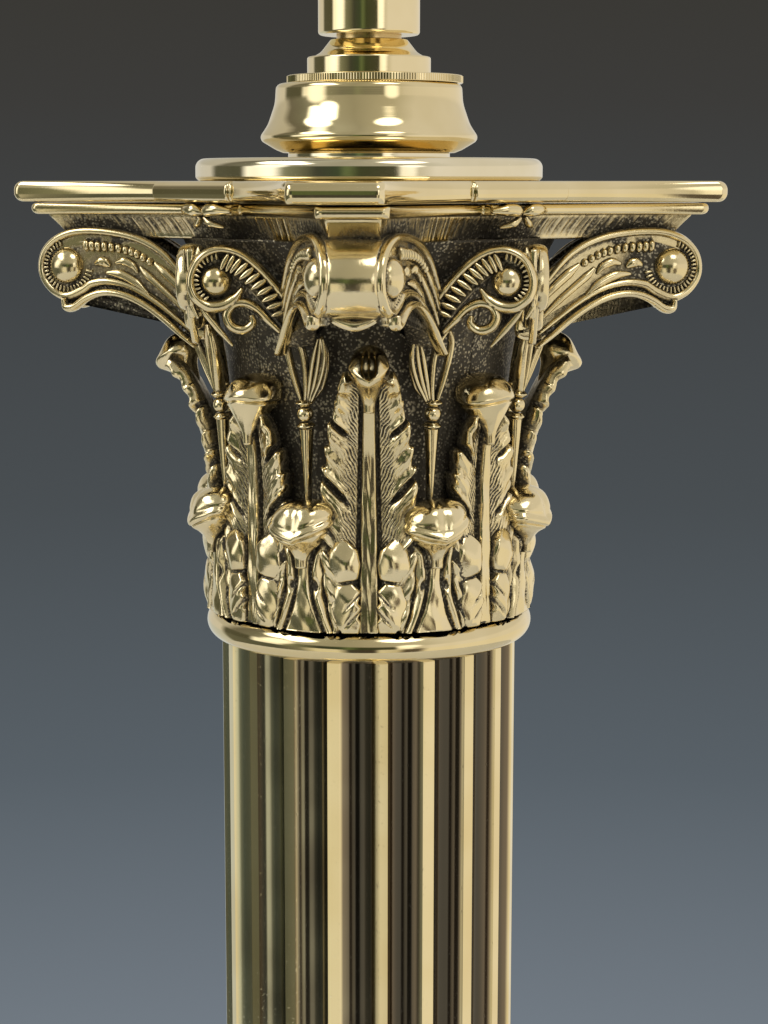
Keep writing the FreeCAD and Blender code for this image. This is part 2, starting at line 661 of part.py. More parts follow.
def make_volutes():
    """Two half volutes lean together at each corner, and two small scrolls meet on each side."""
    top = mm("abacus_top")
    right = half_volute()
    lean = 17.0
    right.rotate(Vector(VOLUTE_EYE[0], 0, 0), Vector(0, 0, 1), lean)
    right.translate(Vector(0, -2.6, top))
    left = right.mirror(Vector(0, 0, 0), Vector(0, 1, 0))
    pairs = []
    roll = volute_roll()
    roll.translate(Vector(0, 0, top))
    for part in (right, left, roll):
        pairs += spun(part, 4, 45.0)
    near = inner_scroll()
    near.rotate(Vector(0, 0, 0), Vector(0, 0, 1), 90.0)
    near.translate(Vector(29.0, -4.6, top))
    near.rotate(Vector(29.0, -4.6, 0), Vector(0, 0, 1), -8.0)
    far = near.mirror(Vector(0, 0, 0), Vector(0, 1, 0))
    for half in (near, far):
        pairs += spun(half, 4)
    return pairs


def make_stems():
    """Eight baluster stems between the upper leaves: a tapered stalk, a bead and an opening cup."""
    low = mm("capital_bottom")
    profile = [
        (0.0, 16.0), (0.55, 16.0), (1.5, 27.0), (1.1, 28.0), (1.75, 29.2), (1.1, 30.4), (1.7, 33.0),
        (2.5, 39.5), (1.4, 43.5), (0.0, 43.5),
    ]
    wire = Part.makePolygon([Vector(r, 0, up) for r, up in profile + profile[:1]])
    stem = Part.Face(wire).revolve(Vector(), Vector(0, 0, 1), 360)
    stem.rotate(Vector(0, 0, 16.0), Vector(0, 1, 0), 5.0)
    stem.translate(Vector(22.6, 0, low))
    return spun(stem, 8, 22.5 + mm("leaf_turn"), 45.0)


def make_capital():
    """Everything the mould held, fused into the bell."""
    bell = make_bell()
    relief = make_abacus_layers() + make_leaves() + make_volutes() + make_stems()
    ornaments = feature("capital_ornaments", Part.makeCompound(relief))
    casting = bell.Shape.multiFuse(ornaments.Shape.Solids)
    low, deck = mm("capital_bottom"), mm("abacus_under") - 9.0
    floor = Part.makeBox(200, 200, 20, Vector(-100, -100, low - 20))
    shaft_hole = Part.makeCylinder(mm("rod_radius") + 0.2, 80.0, Vector(0, 0, low))
    hollow = Part.makeCylinder(15.0, deck - low, Vector(0, 0, low))
    casting = casting.cut([floor, shaft_hole, hollow])
    return feature("capital_casting", casting)


# --- Plates and caps over the capital, and the threaded tube that clamps the stack.


def make_abacus_plate():
    """A cast plate with four concave sides, a tab in the middle of each and corners cut flat."""
    face = concave_square(mm("abacus_corner"), 6.4, mm("boss_reach") - 3.0)
    face = face.fuse(side_bosses(mm("boss_reach"), mm("boss_half"))).removeSplitter()
    plate = rounded_plate(face, mm("abacus_bottom"), mm("abacus_top"), 0.95)
    below = Vector(0, 0, mm("abacus_bottom") - 3.0)
    plate = plate.cut(Part.makeCylinder(mm("rod_radius") + 0.2, 10.0, below))
    plate.rotate(Vector(), Vector(0, 0, 1), mm("abacus_turn"))
    return feature("abacus_plate", plate)


def make_round_moulding():
    """The round plate with a softened rim and a raised hub that centres the spun cap."""
    low, high, hub = cell("abacus_top"), cell("moulding_top"), cell("hub_top")
    bore, rim = cell("rod_radius") + 0.2, cell("moulding_radius")
    return turned("round_moulding", [
        (bore, low), (rim - 0.6, low), (rim, low + 0.6), (rim, low + 1.9, -1.5), (rim - 1.5, high),
        (cell("hub_radius"), high), (cell("hub_radius"), hub), (bore, hub),
    ])


def make_spun_cap():
    """The bell-shaped cap: it flares down to a rolled lip, and its flat top carries the milled ring."""
    foot, top = cell("hub_top"), cell("cap_top")
    return turned("spun_cap", [
        (cell("rod_radius") + 0.2, top), (14.0, top), (14.4, top - 0.4), (14.4, top - 1.2, 15.0),
        (15.2, top - 5.0, 9.0), (16.4, foot + 3.0), (16.8, foot + 2.1, -1.3), (16.4, foot + 1.0),
        (14.4, foot + 0.35), (13.3, foot), (11.2, foot), (11.2, foot + 1.2), (14.6, foot + 1.8),
        (13.2, top - 4.0), (13.0, top - 1.4), (cell("rod_radius") + 0.2, top - 1.4),
    ])


RING_SLIP = 47.5
"""The horizontal direction, in degrees from +X, to which the loose ring has slipped."""


def make_milled_ring():
    """A loose thin ring with a milled edge. It hangs a little to one side, as far as its hole lets it."""
    teeth, depth = 72, 0.22
    ring = []
    for i in range(2 * teeth):
        radius = mm("ring_radius") - (depth if i % 2 else 0.0)
        angle = math.pi * i / teeth
        ring.append(Vector(radius * math.cos(angle), radius * math.sin(angle), mm("cap_top")))
    thickness = Vector(0, 0, mm("ring_top") - mm("cap_top"))
    blank = Part.Face(Part.makePolygon(ring + ring[:1])).extrude(thickness)
    bore_radius = mm("rod_radius") + mm("ring_shift") + 0.04
    bore = Part.makeCylinder(bore_radius, 3.0, Vector(0, 0, mm("cap_top") - 1.0))
    side = math.radians(RING_SLIP)
    thing = feature("milled_ring", blank.cut(bore))
    thing.Placement = Placement(Vector(math.cos(side), math.sin(side), 0) * mm("ring_shift"), Rotation())
    return thing


def make_stepped_collar():
    """The lock collar: a plain band below and a dished neck above it."""
    low, top = cell("ring_top"), cell("stack_collar_top")
    bore = cell("rod_radius") + 0.03
    return turned("stepped_collar", [
        (bore, low), (9.4, low), (9.5, low + 0.2), (9.5, low + 2.5), (9.2, low + 2.8),
        (8.5, low + 2.8, 4.5), (6.4, top - 0.7), (5.9, top), (bore, top),
    ])


def make_clamp_parts():
    """The threaded tube and the nuts and washers on it, one pair under the ballast and one in the cap."""
    tube = turned("threaded_tube", [
        (cell("rod_bore"), cell("rod_bottom")), (cell("rod_radius"), cell("rod_bottom")),
        (cell("rod_radius"), cell("rod_top")), (cell("rod_bore"), cell("rod_top")),
    ])
    hub, flats, nut = mm("hub_top"), 17.0, 6.0
    lower, upper = 1.6, 1.2
    return [
        tube,
        washer("lower_washer", 14.0, BALLAST_FOOT - lower, lower),
        hex_nut("lower_nut", flats, BALLAST_FOOT - lower - nut, nut),
        washer("upper_washer", 10.0, hub, upper),
        hex_nut("upper_nut", flats, hub + upper, nut),
    ]


# --- Lampholder: a bayonet holder with a push-through switch, screwed on the end of the threaded tube.


def make_holder_cap():
    """The spun brass dome with the threaded neck, and holes across it for the switch bar."""
    foot, top, radius = cell("holder_bottom"), cell("holder_cap_top"), cell("holder_radius")
    wall, bore = mm("holder_wall"), cell("rod_radius") + 0.03
    cap = turned("holder_cap", [
        (bore, foot), (7.2, foot), (cell("neck_radius"), foot + 0.6), (cell("neck_radius"), foot + 8.0),
        (8.6, foot + 8.6), (8.6, foot + 9.8, 8.0), (14.0, foot + 14.6, -4.0), (radius, foot + 18.5),
        (radius, top), (radius - wall, top), (radius - wall, foot + 19.0), (13.4, foot + 16.0),
        (8.0, foot + 11.2), (bore, foot + 11.2),
    ])
    hole = circle_at(0, cell("switch_height"), cell("switch_radius") + 0.06)
    cut_through(cap, "switch_hole", hole, "YZ_Plane", True)
    return cap


SPRING_FOOT = 459.0
PLUNGER_FOOT = 467.5
PLUNGER_SHOULDER = 474.0
PLUNGER_TOP = 482.0
"""Heights of the socket's contacts at rest."""


def make_holder_core():
    """The moulded insulator: a block in the dome, a post in the socket, bores for both plungers, a channel
    for the switch bar and a wiring space underneath."""
    low, high, post = mm("holder_bottom") + 19.2, mm("holder_cap_top"), mm("core_top")
    core = Part.makeCylinder(mm("core_radius"), high - low, Vector(0, 0, low))
    core = core.fuse(Part.makeCylinder(mm("socket_radius") - 0.4, post - high, Vector(0, 0, high)))
    left = Vector(-30.0, 0, mm("switch_height"))
    bar = Part.makeCylinder(mm("switch_radius") + 0.3, 60.0, left, Vector(1, 0, 0))
    blade_room = Part.makeBox(13.0, 4.0, 6.5, Vector(-6.5, -2.0, mm("switch_height")))
    wiring = Part.makeBox(20.0, 16.0, 3.4, Vector(-10.0, -8.0, low - 1.0))
    cuts = [bar, blade_room, wiring]
    for side in (-1, 1):
        foot = Vector(side * mm("plunger_spacing"), 0, SPRING_FOOT)
        cuts.append(Part.makeCylinder(mm("plunger_radius") + 0.05, PLUNGER_SHOULDER - SPRING_FOOT, foot))
        cuts.append(Part.makeCylinder(mm("plunger_radius") - 0.4, 30.0, foot))
        cuts.append(Part.makeCylinder(1.6, 9.0, Vector(0, side * 10.5, low - 1.0)))
    return feature("insulator_core", core.removeSplitter().cut(cuts))


def make_plunger(label, side):
    """A brass contact that the bulb pushes down against its spring. A shoulder stops it at the top."""
    low, shoulder, tip = size(PLUNGER_FOOT), size(PLUNGER_SHOULDER), size(PLUNGER_TOP)
    radius = cell("plunger_radius")
    plunger = turned(label, [
        (0, low), (radius - 0.3, low), (radius, low + 0.3), (radius, shoulder), (radius - 0.45, shoulder),
        (radius - 0.45, tip - 1.0, -1.8), (radius - 1.1, tip), (0, tip),
    ])
    plunger.Placement = Placement(Vector(side * mm("plunger_spacing"), 0, 0), Rotation())
    return plunger


def make_plunger_spring(label, side):
    """The coil spring under a plunger, an open helix of fine wire."""
    turns, wire_radius, coil_radius = 4.0, 0.3, 1.45
    free = PLUNGER_FOOT - SPRING_FOOT - 2 * wire_radius
    path = Part.makeHelix(free / turns, free, coil_radius)
    path.translate(Vector(0, 0, SPRING_FOOT + wire_radius))
    start = path.Vertexes[0].Point
    heading = path.Edges[0].tangentAt(path.Edges[0].FirstParameter)
    section = Part.Wire(Part.makeCircle(wire_radius, start, heading))
    coil = Part.Wire(path).makePipeShell([section], True, True)
    thing = feature(label, coil)
    thing.Placement = Placement(Vector(side * mm("plunger_spacing"), 0, 0), Rotation())
    return thing


def make_switch():
    """The bar that is pushed through from either side, and the brass bridge that it carries. It rests
    pushed through towards +X."""
    half, radius, pushed = mm("switch_half"), mm("switch_radius"), mm("switch_travel")
    middle = Vector(pushed, 0, mm("switch_height"))
    bar = Part.makeCylinder(radius, 2 * half, middle - Vector(half, 0, 0), Vector(1, 0, 0))
    ends = [e for e in bar.Edges if e.Curve.TypeId == "Part::GeomCircle"]
    bar = feature("switch_bar", bar.makeFillet(1.2, ends))
    bridge = Part.makeBox(5.0, 3.0, 3.4, middle + Vector(-2.5, -1.5, radius - 0.4))
    bridge = bridge.cut(Part.makeCylinder(radius, 10.0, middle - Vector(5.0, 0, 0), Vector(1, 0, 0)))
    return [bar, feature("switch_bridge", bridge)]


def make_holder_skirt():
    """The socket: a tube on a flange, with two hooked slots for the bulb's pins. A shade's ring sits on the
    plain band under the slots, and the tube is a touch narrower above it."""
    low, top = cell("holder_cap_top"), cell("holder_top")
    radius, bore = cell("skirt_radius"), cell("socket_radius")
    step = 0.25
    mouth, band_top = radius - step, top - 8.2
    thread, relief, seat = cell("thread_radius"), bore + 0.7, cell("shade_ring_top") + 0.2
    skirt = turned("holder_skirt", [
        (relief, low), (cell("holder_radius"), low), (cell("holder_radius"), low + 1.4), (thread, low + 1.4),
        (thread, seat), (radius, seat), (radius, band_top), (mouth, band_top + step), (mouth, top - 0.6),
        (mouth - 0.6, top), (bore, top),
        (bore, PLUNGER_TOP + 0.4), (relief, PLUNGER_TOP + 0.4),
    ])
    width, drop, hook = 3.0, 8.0, 5.0

    edge, slot_foot = top + 1.0, top - drop
    slot_top = slot_foot + width
    sketch = sketch_on(skirt, "XZ_Plane", "pin_slot_sketch")
    outline(sketch, [
        (-width / 2, edge), (-width / 2, slot_foot), (hook, slot_foot), (hook, slot_top + 1.2),
        (hook - width, slot_top + 1.2), (hook - width, slot_top), (width / 2, slot_top), (width / 2, edge),
    ])
    before = skirt.Shape.Volume
    pocket = skirt.newObject("PartDesign::Pocket", "pin_slot")
    pocket.Profile = sketch
    pocket.Type = "ThroughAll"
    doc.recompute()
    pattern = skirt.newObject("PartDesign::PolarPattern", "pin_slots")
    pattern.Originals = [pocket]
    pattern.Axis = (origin_plane(skirt, "Z_Axis"), [""])
    pattern.Angle = 360
    pattern.Occurrences = 2
    skirt.Tip = pattern
    doc.recompute()
    assert skirt.Shape.Volume < before - 1.0, "the pin slots cut nothing"
    return skirt


def make_locking_ring():
    """The ring that screws the skirt's flange down on the dome."""
    seam, radius = cell("holder_cap_top"), cell("holder_radius")
    return turned("locking_ring", [
        (radius + 0.03, seam - 6.0), (radius + 1.4, seam - 6.0), (radius + 1.4, seam + 1.8),
        (radius + 0.8, seam + 2.4), (cell("thread_radius") + 0.3, seam + 2.4),
        (cell("thread_radius") + 0.3, seam + 1.4), (radius + 0.03, seam + 1.4),
    ])


def make_shade_ring():
    """The milled ring that screws down the skirt and holds a shade."""
    low, high, bore = cell("shade_ring_bottom"), cell("shade_ring_top"), cell("thread_radius") + 0.05
    ring = turned("shade_ring", [
        (bore, low), (17.0, low), (17.0, low + 1.2), (19.4, low + 1.2), (20.0, low + 1.8),
        (20.0, high - 0.6), (19.4, high), (bore, high),
    ])
    notches, notch_radius = 36, 0.8
    cut_through(ring, "shade_ring_notch", circle_at(20.4, 0, notch_radius), count=notches)
    return ring


def make_terminal_screws():
    """The two screws under the core that clamp the wires."""
    low = mm("holder_bottom") + 19.2
    screws = []
    for side in (-1, 1):
        foot = Vector(0, side * 10.5, low)
        screw = Part.makeCylinder(1.6, 7.0, foot).fuse(Part.makeCylinder(2.3, 0.9, foot - Vector(0, 0, 0.9)))
        screws.append(screw.cut(Part.makeBox(5.0, 0.5, 0.5, foot - Vector(2.5, 0.25, 1.0))))
    return feature("terminal_screws", Part.makeCompound(screws))


# --- Everything together: check each object, then write one file for each piece.

PIECES = [
    make_plinth(), *make_bottom_parts(), make_inlet_bush(), make_base_ring(), make_shaft(), make_collar(),
    make_capital(), make_abacus_plate(), make_round_moulding(), make_spun_cap(), make_milled_ring(),
    make_stepped_collar(), *make_clamp_parts(), make_holder_cap(), make_holder_core(),
    make_plunger("plunger_left", -1), make_plunger("plunger_right", 1),
    make_plunger_spring("plunger_spring_left", -1), make_plunger_spring("plunger_spring_right", 1),
    *make_switch(), make_holder_skirt(), make_locking_ring(), make_shade_ring(), make_terminal_screws(),
]
doc.recompute()

for thing in doc.Objects:
    assert not {"Invalid", "Error"} & set(thing.State), f"{thing.Name}: {thing.State}"
os.makedirs("parts", exist_ok=True)
for piece in PIECES:
    shape = piece.Shape
    assert not shape.isNull() and shape.isValid(), f"{piece.Label} has a faulty shape"
    print(f"{piece.Label}: {len(shape.Solids)} solid(s), {shape.Volume / 1000:.2f} cm3")
    shape.exportStep(f"parts/{piece.Label}.step")
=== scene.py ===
import math
import bmesh
import bpy
import numpy as np
from mathutils import Matrix, Vector
from mathutils.bvhtree import BVHTree


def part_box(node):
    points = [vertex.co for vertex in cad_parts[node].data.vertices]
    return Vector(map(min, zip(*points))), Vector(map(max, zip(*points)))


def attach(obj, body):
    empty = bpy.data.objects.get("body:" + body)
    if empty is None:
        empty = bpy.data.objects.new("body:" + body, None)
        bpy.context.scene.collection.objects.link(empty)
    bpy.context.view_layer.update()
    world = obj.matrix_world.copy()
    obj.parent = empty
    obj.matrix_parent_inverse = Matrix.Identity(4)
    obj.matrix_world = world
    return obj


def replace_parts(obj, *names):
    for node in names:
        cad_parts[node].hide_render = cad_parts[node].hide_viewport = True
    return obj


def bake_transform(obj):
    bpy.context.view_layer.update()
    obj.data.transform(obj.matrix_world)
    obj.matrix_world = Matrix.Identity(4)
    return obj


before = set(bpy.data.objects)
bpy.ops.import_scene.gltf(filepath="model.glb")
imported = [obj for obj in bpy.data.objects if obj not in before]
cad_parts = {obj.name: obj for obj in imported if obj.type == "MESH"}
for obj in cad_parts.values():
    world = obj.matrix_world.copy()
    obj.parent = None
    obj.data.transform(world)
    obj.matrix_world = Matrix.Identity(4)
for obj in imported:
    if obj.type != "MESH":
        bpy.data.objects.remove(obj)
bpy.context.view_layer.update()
MM = 0.001

# --- View and light. The camera stands level with the plate over the capital and looks down a little.
# The lamp is lit by a plain soft room light and two panels. Its polished metal shows a studio: pale walls
# at the right and behind, a dark room at the front, soft round lights and a pale table.

EYE_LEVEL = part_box("abacus_plate")[1].z
CAMERA_AZIMUTH = math.radians(47.5)
CAMERA_DISTANCE = 334.1 * MM
CAMERA_PITCH = math.radians(8.833)
AXIS_OFF_CENTRE = 15 / 1024
CAMERA_SIDE = Vector((math.sin(CAMERA_AZIMUTH), -math.cos(CAMERA_AZIMUTH), 0))
NEAR_ANGLE = math.degrees(math.atan2(CAMERA_SIDE.y, CAMERA_SIDE.x))

camera_data = bpy.data.cameras.new("camera")
camera = bpy.data.objects.new("camera", camera_data)
bpy.context.collection.objects.link(camera)
bpy.context.scene.camera = camera
camera.location = CAMERA_SIDE * CAMERA_DISTANCE + Vector((0, 0, EYE_LEVEL))
camera.rotation_euler = (math.radians(90) - CAMERA_PITCH, 0, CAMERA_AZIMUTH)
camera_data.sensor_width = 36
camera_data.lens = 74.88
camera_data.shift_x = AXIS_OFF_CENTRE
camera_data.clip_start = 0.01
bpy.context.scene.view_settings.view_transform = "Standard"


class Wire:
    """A node's output. Python's operators on it add Math nodes."""

    def __init__(self, tree, socket):
        self.tree, self.socket = tree, socket

    def maths(self, operation, first, second=0.0):
        return self.tree.node("ShaderNodeMath", {"operation": operation}, {0: first, 1: second})

    def __add__(self, other):
        return self.maths("ADD", self, other)

    def __sub__(self, other):
        return self.maths("SUBTRACT", self, other)

    def __rsub__(self, other):
        return self.maths("SUBTRACT", other, self)

    def __mul__(self, other):
        return self.maths("MULTIPLY", self, other)

    def __truediv__(self, other):
        return self.maths("DIVIDE", self, other)

    def __rtruediv__(self, other):
        return self.maths("DIVIDE", other, self)

    def __pow__(self, other):
        return self.maths("POWER", self, other)

    __radd__ = __add__
    __rmul__ = __mul__


class Tree:
    """A node tree that is built by calls: one for any node, and short ones for those used most."""

    def __init__(self, tree):
        self.tree = tree
        tree.nodes.clear()

    def node(self, kind, settings=None, inputs=None, output=0):
        made = self.tree.nodes.new(kind)
        for name, value in (settings or {}).items():
            if name == "stops":
                ramp = made.color_ramp.elements
                while len(ramp) < len(value):
                    ramp.new(0.5)
                for stop, (place, colour) in zip(ramp, value):
                    stop.position = place
                    stop.color = (*colour, 1.0)
            else:
                setattr(made, name, value)
        for key, value in (inputs or {}).items():
            if isinstance(value, Wire):
                self.tree.links.new(value.socket, made.inputs[key])
            else:
                made.inputs[key].default_value = value
        return Wire(self, made.outputs[output] if made.outputs else None)

    def mixed(self, factor, first, second):
        """Two colours mixed by a factor. Each is three numbers or a wire."""
        colours = [c if isinstance(c, Wire) else (*c, 1.0) for c in (first, second)]
        settings = {"data_type": "RGBA"}
        return self.node("ShaderNodeMix", settings, {0: factor, 6: colours[0], 7: colours[1]}, 2)

    def smooth(self, value, low, high):
        """0 below one value, 1 above the other, and a soft step between them."""
        settings = {"interpolation_type": "SMOOTHSTEP"}
        return self.node("ShaderNodeMapRange", settings, {0: value, 1: low, 2: high, 3: 0.0, 4: 1.0})

    def ramp(self, value, stops):
        return self.node("ShaderNodeValToRGB", {"stops": stops}, {0: value})

    def dot(self, vector, way):
        return self.node("ShaderNodeVectorMath", {"operation": "DOT_PRODUCT"}, {0: vector, 1: way}, "Value")

    def noise(self, place, scale, detail, roughness=0.5):
        inputs = {"Vector": place, "Scale": scale, "Detail": detail, "Roughness": roughness}
        return self.node("ShaderNodeTexNoise", inputs=inputs)

    def bump(self, height, strength=1.0, distance=MM):
        inputs = {"Strength": strength, "Distance": distance, "Height": height}
        return self.node("ShaderNodeBump", inputs=inputs)

    def surface(self, inputs):
        """Ends a material in one Principled shader with these inputs."""
        shader = self.node("ShaderNodeBsdfPrincipled", inputs=inputs)
        self.node("ShaderNodeOutputMaterial", inputs={"Surface": shader})


world = bpy.data.worlds.new("studio")
bpy.context.scene.world = world
world.use_nodes = True
world.cycles.sampling_method = "NONE"
sky = Tree(world.node_tree)
ray = sky.node("ShaderNodeTexCoord", output=0)
upward = sky.node("ShaderNodeSeparateXYZ", inputs={0: ray}, output=2)
turn_to_camera = {"Rotation": (0, 0, -math.radians(NEAR_ANGLE))}
ahead = sky.node("ShaderNodeMapping", {"vector_type": "VECTOR"}, {"Vector": ray, **turn_to_camera})
towards = sky.node("ShaderNodeSeparateXYZ", inputs={0: ahead}, output=0)
sideways = sky.node("ShaderNodeSeparateXYZ", inputs={0: ahead}, output=1)
bearing = sky.node("ShaderNodeMath", {"operation": "ARCTAN2"}, {0: sideways, 1: towards})
"""The bearing of a ray from the camera's side of the lamp, in radians, positive to the right."""
round_share = bearing / (2 * math.pi) + 0.5


def bearings(*stops):
    """Ramp stops written as (bearing in degrees, colour)."""
    return [(degrees / 360 + 0.5, colour) for degrees, colour in stops]


PALE_WALL = (0.80, 0.76, 0.70)
DARK_ROOM = (0.055, 0.060, 0.045)
level_walls = sky.ramp(round_share, bearings(
    (-180, (0.62, 0.60, 0.54)), (-128, (0.66, 0.64, 0.60)), (-120, (0.10, 0.10, 0.07)),
    (-92, (0.09, 0.09, 0.06)), (-86, (1.30, 1.28, 1.20)), (-66, (1.10, 1.08, 1.00)),
    (-60, (0.27, 0.28, 0.20)), (-42, (0.13, 0.135, 0.09)), (-34, DARK_ROOM), (-20, (0.05, 0.07, 0.04)),
    (-14, (0.13, 0.17, 0.075)), (-6, (0.05, 0.06, 0.03)), (18, (0.07, 0.07, 0.045)),
    (21, (1.10, 1.05, 0.90)), (29, (1.10, 1.05, 0.90)), (32, (0.60, 0.56, 0.46)), (44, PALE_WALL),
    (150, PALE_WALL), (180, (0.62, 0.60, 0.54))))
table_front = sky.ramp(round_share, bearings(
    (-180, (0.62, 0.66, 0.66)), (-128, (0.55, 0.57, 0.54)), (-120, (0.14, 0.14, 0.10)),
    (-70, (0.10, 0.11, 0.09)), (-50, (0.22, 0.22, 0.17)), (-38, (0.78, 0.74, 0.60)),
    (-22, (0.78, 0.74, 0.60)), (-14, (0.06, 0.06, 0.05)), (4, (0.06, 0.05, 0.04)),
    (8, (0.74, 0.70, 0.57)), (20, (0.60, 0.55, 0.42)), (26, (0.10, 0.08, 0.06)), (36, (0.12, 0.10, 0.08)),
    (42, (0.84, 0.78, 0.64)), (150, (0.84, 0.78, 0.66)), (180, (0.62, 0.62, 0.56))))
ceiling = sky.ramp(round_share, bearings(
    (-180, (0.50, 0.48, 0.42)), (-125, (0.52, 0.50, 0.45)), (-112, (0.16, 0.15, 0.12)),
    (-92, (0.20, 0.20, 0.16)), (-60, (0.46, 0.46, 0.40)), (-20, (0.36, 0.35, 0.29)),
    (30, (0.52, 0.50, 0.42)), (60, (0.70, 0.67, 0.62)), (150, (0.70, 0.67, 0.62)),
    (180, (0.50, 0.48, 0.42))))
above = sky.smooth(upward, 0.10, 0.24)
below = sky.smooth(upward, -0.10, -0.18)
studio = sky.mixed(above, sky.mixed(below, level_walls, table_front), ceiling)


def glow(room, degrees_right, degrees_up, inner, outer, radiance):
    """The room with a soft round light in it, seen under so many degrees from its middle."""
    angle, up = math.radians(NEAR_ANGLE + degrees_right), math.radians(degrees_up)
    way = (math.cos(angle) * math.cos(up), math.sin(angle) * math.cos(up), math.sin(up))
    near = sky.dot(ray, way)
    shape = sky.smooth(near, math.cos(math.radians(outer)), math.cos(math.radians(inner)))
    return sky.mixed(shape, room, (radiance, radiance * 0.985, radiance * 0.95))


for light in ((-75, 44, 7, 17, 4.5), (29, 52, 6, 15, 4.2), (-54, 34, 2, 13, 4.2), (-68, 12, 5, 17, 1.6),
              (28, 10, 3, 11, 1.5)):
    studio = glow(studio, *light)
LOWEST_SEEN, HIGHEST_SEEN = -0.380, 0.082
seen_height = (upward - LOWEST_SEEN) / (HIGHEST_SEEN - LOWEST_SEEN)
backdrop = sky.ramp(seen_height, [
    (0.0, (0.165, 0.193, 0.223)), (0.24, (0.098, 0.118, 0.136)), (0.50, (0.067, 0.077, 0.084)),
    (0.72, (0.055, 0.060, 0.063)), (0.90, (0.046, 0.045, 0.042)), (1.0, (0.043, 0.041, 0.036))])
ROOM_LIGHT = (0.66, 0.66, 0.66)
camera_ray = sky.node("ShaderNodeLightPath", output="Is Camera Ray")
shiny_ray = sky.node("ShaderNodeLightPath", output="Is Glossy Ray")
shown = sky.mixed(camera_ray, sky.mixed(shiny_ray, ROOM_LIGHT, studio), backdrop)
background = sky.node("ShaderNodeBackground", inputs={"Color": shown})
sky.node("ShaderNodeOutputWorld", inputs={"Surface": background})


def soft_panel(name, degrees_right, degrees_up, distance, width, height, radiance):
    """A white panel lamp that faces the capital, placed by its bearing from the camera's side."""
    angle = math.radians(NEAR_ANGLE + degrees_right)
    up = math.radians(degrees_up)
    away = Vector((math.cos(angle) * math.cos(up), math.sin(angle) * math.cos(up), math.sin(up)))
    lamp = bpy.data.lights.new(name, "AREA")
    lamp.shape = "RECTANGLE"
    lamp.size, lamp.size_y = width, height
    lamp.energy = radiance * math.pi * width * height
    lamp.color = (1.0, 0.985, 0.95)
    panel = bpy.data.objects.new(name, lamp)
    bpy.context.collection.objects.link(panel)
    panel.location = Vector((0, 0, EYE_LEVEL)) + away * distance
    panel.rotation_euler = away.to_track_quat("Z", "Y").to_euler()
    panel.visible_camera = False
    panel.visible_glossy = False


soft_panel("left_panel", -72, 24, 1.6, 0.84, 0.80, 2.4)
soft_panel("right_panel", 31, 19, 1.6, 0.46, 0.74, 2.2)

# The floor: a round pale table top, smaller than what the camera could see of it behind the lamp.
FLOOR_RADIUS = 0.60
FLOOR_LEVEL = -0.2 * MM
bpy.ops.mesh.primitive_circle_add(
    vertices=128, radius=FLOOR_RADIUS, fill_type="NGON", location=(0, 0, FLOOR_LEVEL))
floor = bpy.context.object
floor.name = "floor"
floor_material = bpy.data.materials.new("pale_table")
floor_material.use_nodes = True
paint = Tree(floor_material.node_tree)
grain = paint.node("ShaderNodeTexNoise", inputs={"Scale": 60.0, "Detail": 4.0})
tone = paint.mixed(grain, (0.74, 0.73, 0.70), (0.80, 0.79, 0.76))
paint.surface({"Base Color": tone, "Roughness": 0.6})
floor.data.materials.append(floor_material)


# --- Baize pad: a square of green wool baize glued under the plinth. The felt has a short matted nap.


def new_material(name):
    """An empty material and the tree it is drawn with."""
    material = bpy.data.materials.new(name)
    material.use_nodes = True
    return material, Tree(material.node_tree)


def finish_cad_node(node, material):
    """Gives a CAD node that stays in view its material."""
    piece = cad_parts[node]
    piece.data.materials.clear()
    piece.data.materials.append(material)


green_baize, felt = new_material("green_baize")
place = felt.node("ShaderNodeTexCoord", output="Object")
nap = felt.noise(place, 1400.0, 6.0, 0.75)
patches = felt.noise(place, 45.0, 2.0)
wool = felt.mixed(nap, (0.012, 0.045, 0.022), (0.045, 0.120, 0.060))
wear_and_sheen = felt.mixed(patches * 0.35, wool, (0.030, 0.080, 0.050))
fluff = felt.bump(nap, 0.8, 0.4 * MM)
felt.surface({
    "Base Color": wear_and_sheen, "Roughness": 0.95, "Sheen Weight": 0.4, "Sheen Roughness": 0.5, "Normal": fluff})
finish_cad_node("baize_pad", green_baize)


# --- Bottom plate, its countersunk screws, the ballast, washers and nuts: plain steel and black iron,
# hidden under the plinth. Rolled or turned stock with a fine directional grain.


def grained_metal(name, colour, dark, metallic, roughness, scale, stretch, depth):
    """Bare or blackened stock: two tones and a grain stretched along one way."""
    material, tree = new_material(name)
    place = tree.node("ShaderNodeTexCoord", output="Object")
    along = tree.node("ShaderNodeMapping", inputs={"Vector": place, "Scale": stretch})
    grain = tree.noise(along, scale, 5.0)
    blotch = tree.noise(place, scale / 12, 3.0)
    tone = tree.mixed(blotch * 0.6 + grain * 0.4, dark, colour)
    rough = roughness + (grain - 0.5) * 0.25
    bump = tree.bump(grain, 0.5, depth * MM)
    tree.surface({"Base Color": tone, "Metallic": metallic, "Roughness": rough, "Normal": bump})
    return material


zinc = grained_metal("plated_steel", (0.62, 0.62, 0.60), (0.42, 0.42, 0.40), 1.0, 0.34, 900, (1, 0.1, 1),
                     0.05)
iron = grained_metal("black_iron", (0.05, 0.05, 0.05), (0.02, 0.02, 0.02), 0.4, 0.62, 500, (1, 1, 1), 0.3)
for node in (
        "bottom_plate", "bottom_plate_screws", "lower_washer", "lower_nut", "upper_washer", "upper_nut"):
    finish_cad_node(node, zinc)
finish_cad_node("ballast_weight", iron)


# --- Plinth: a hollow square brass casting in steps and mouldings, turned up on its sides with files and
# mops and then lacquered. The corners are mitred and every edge is a little rounded by the polishing.


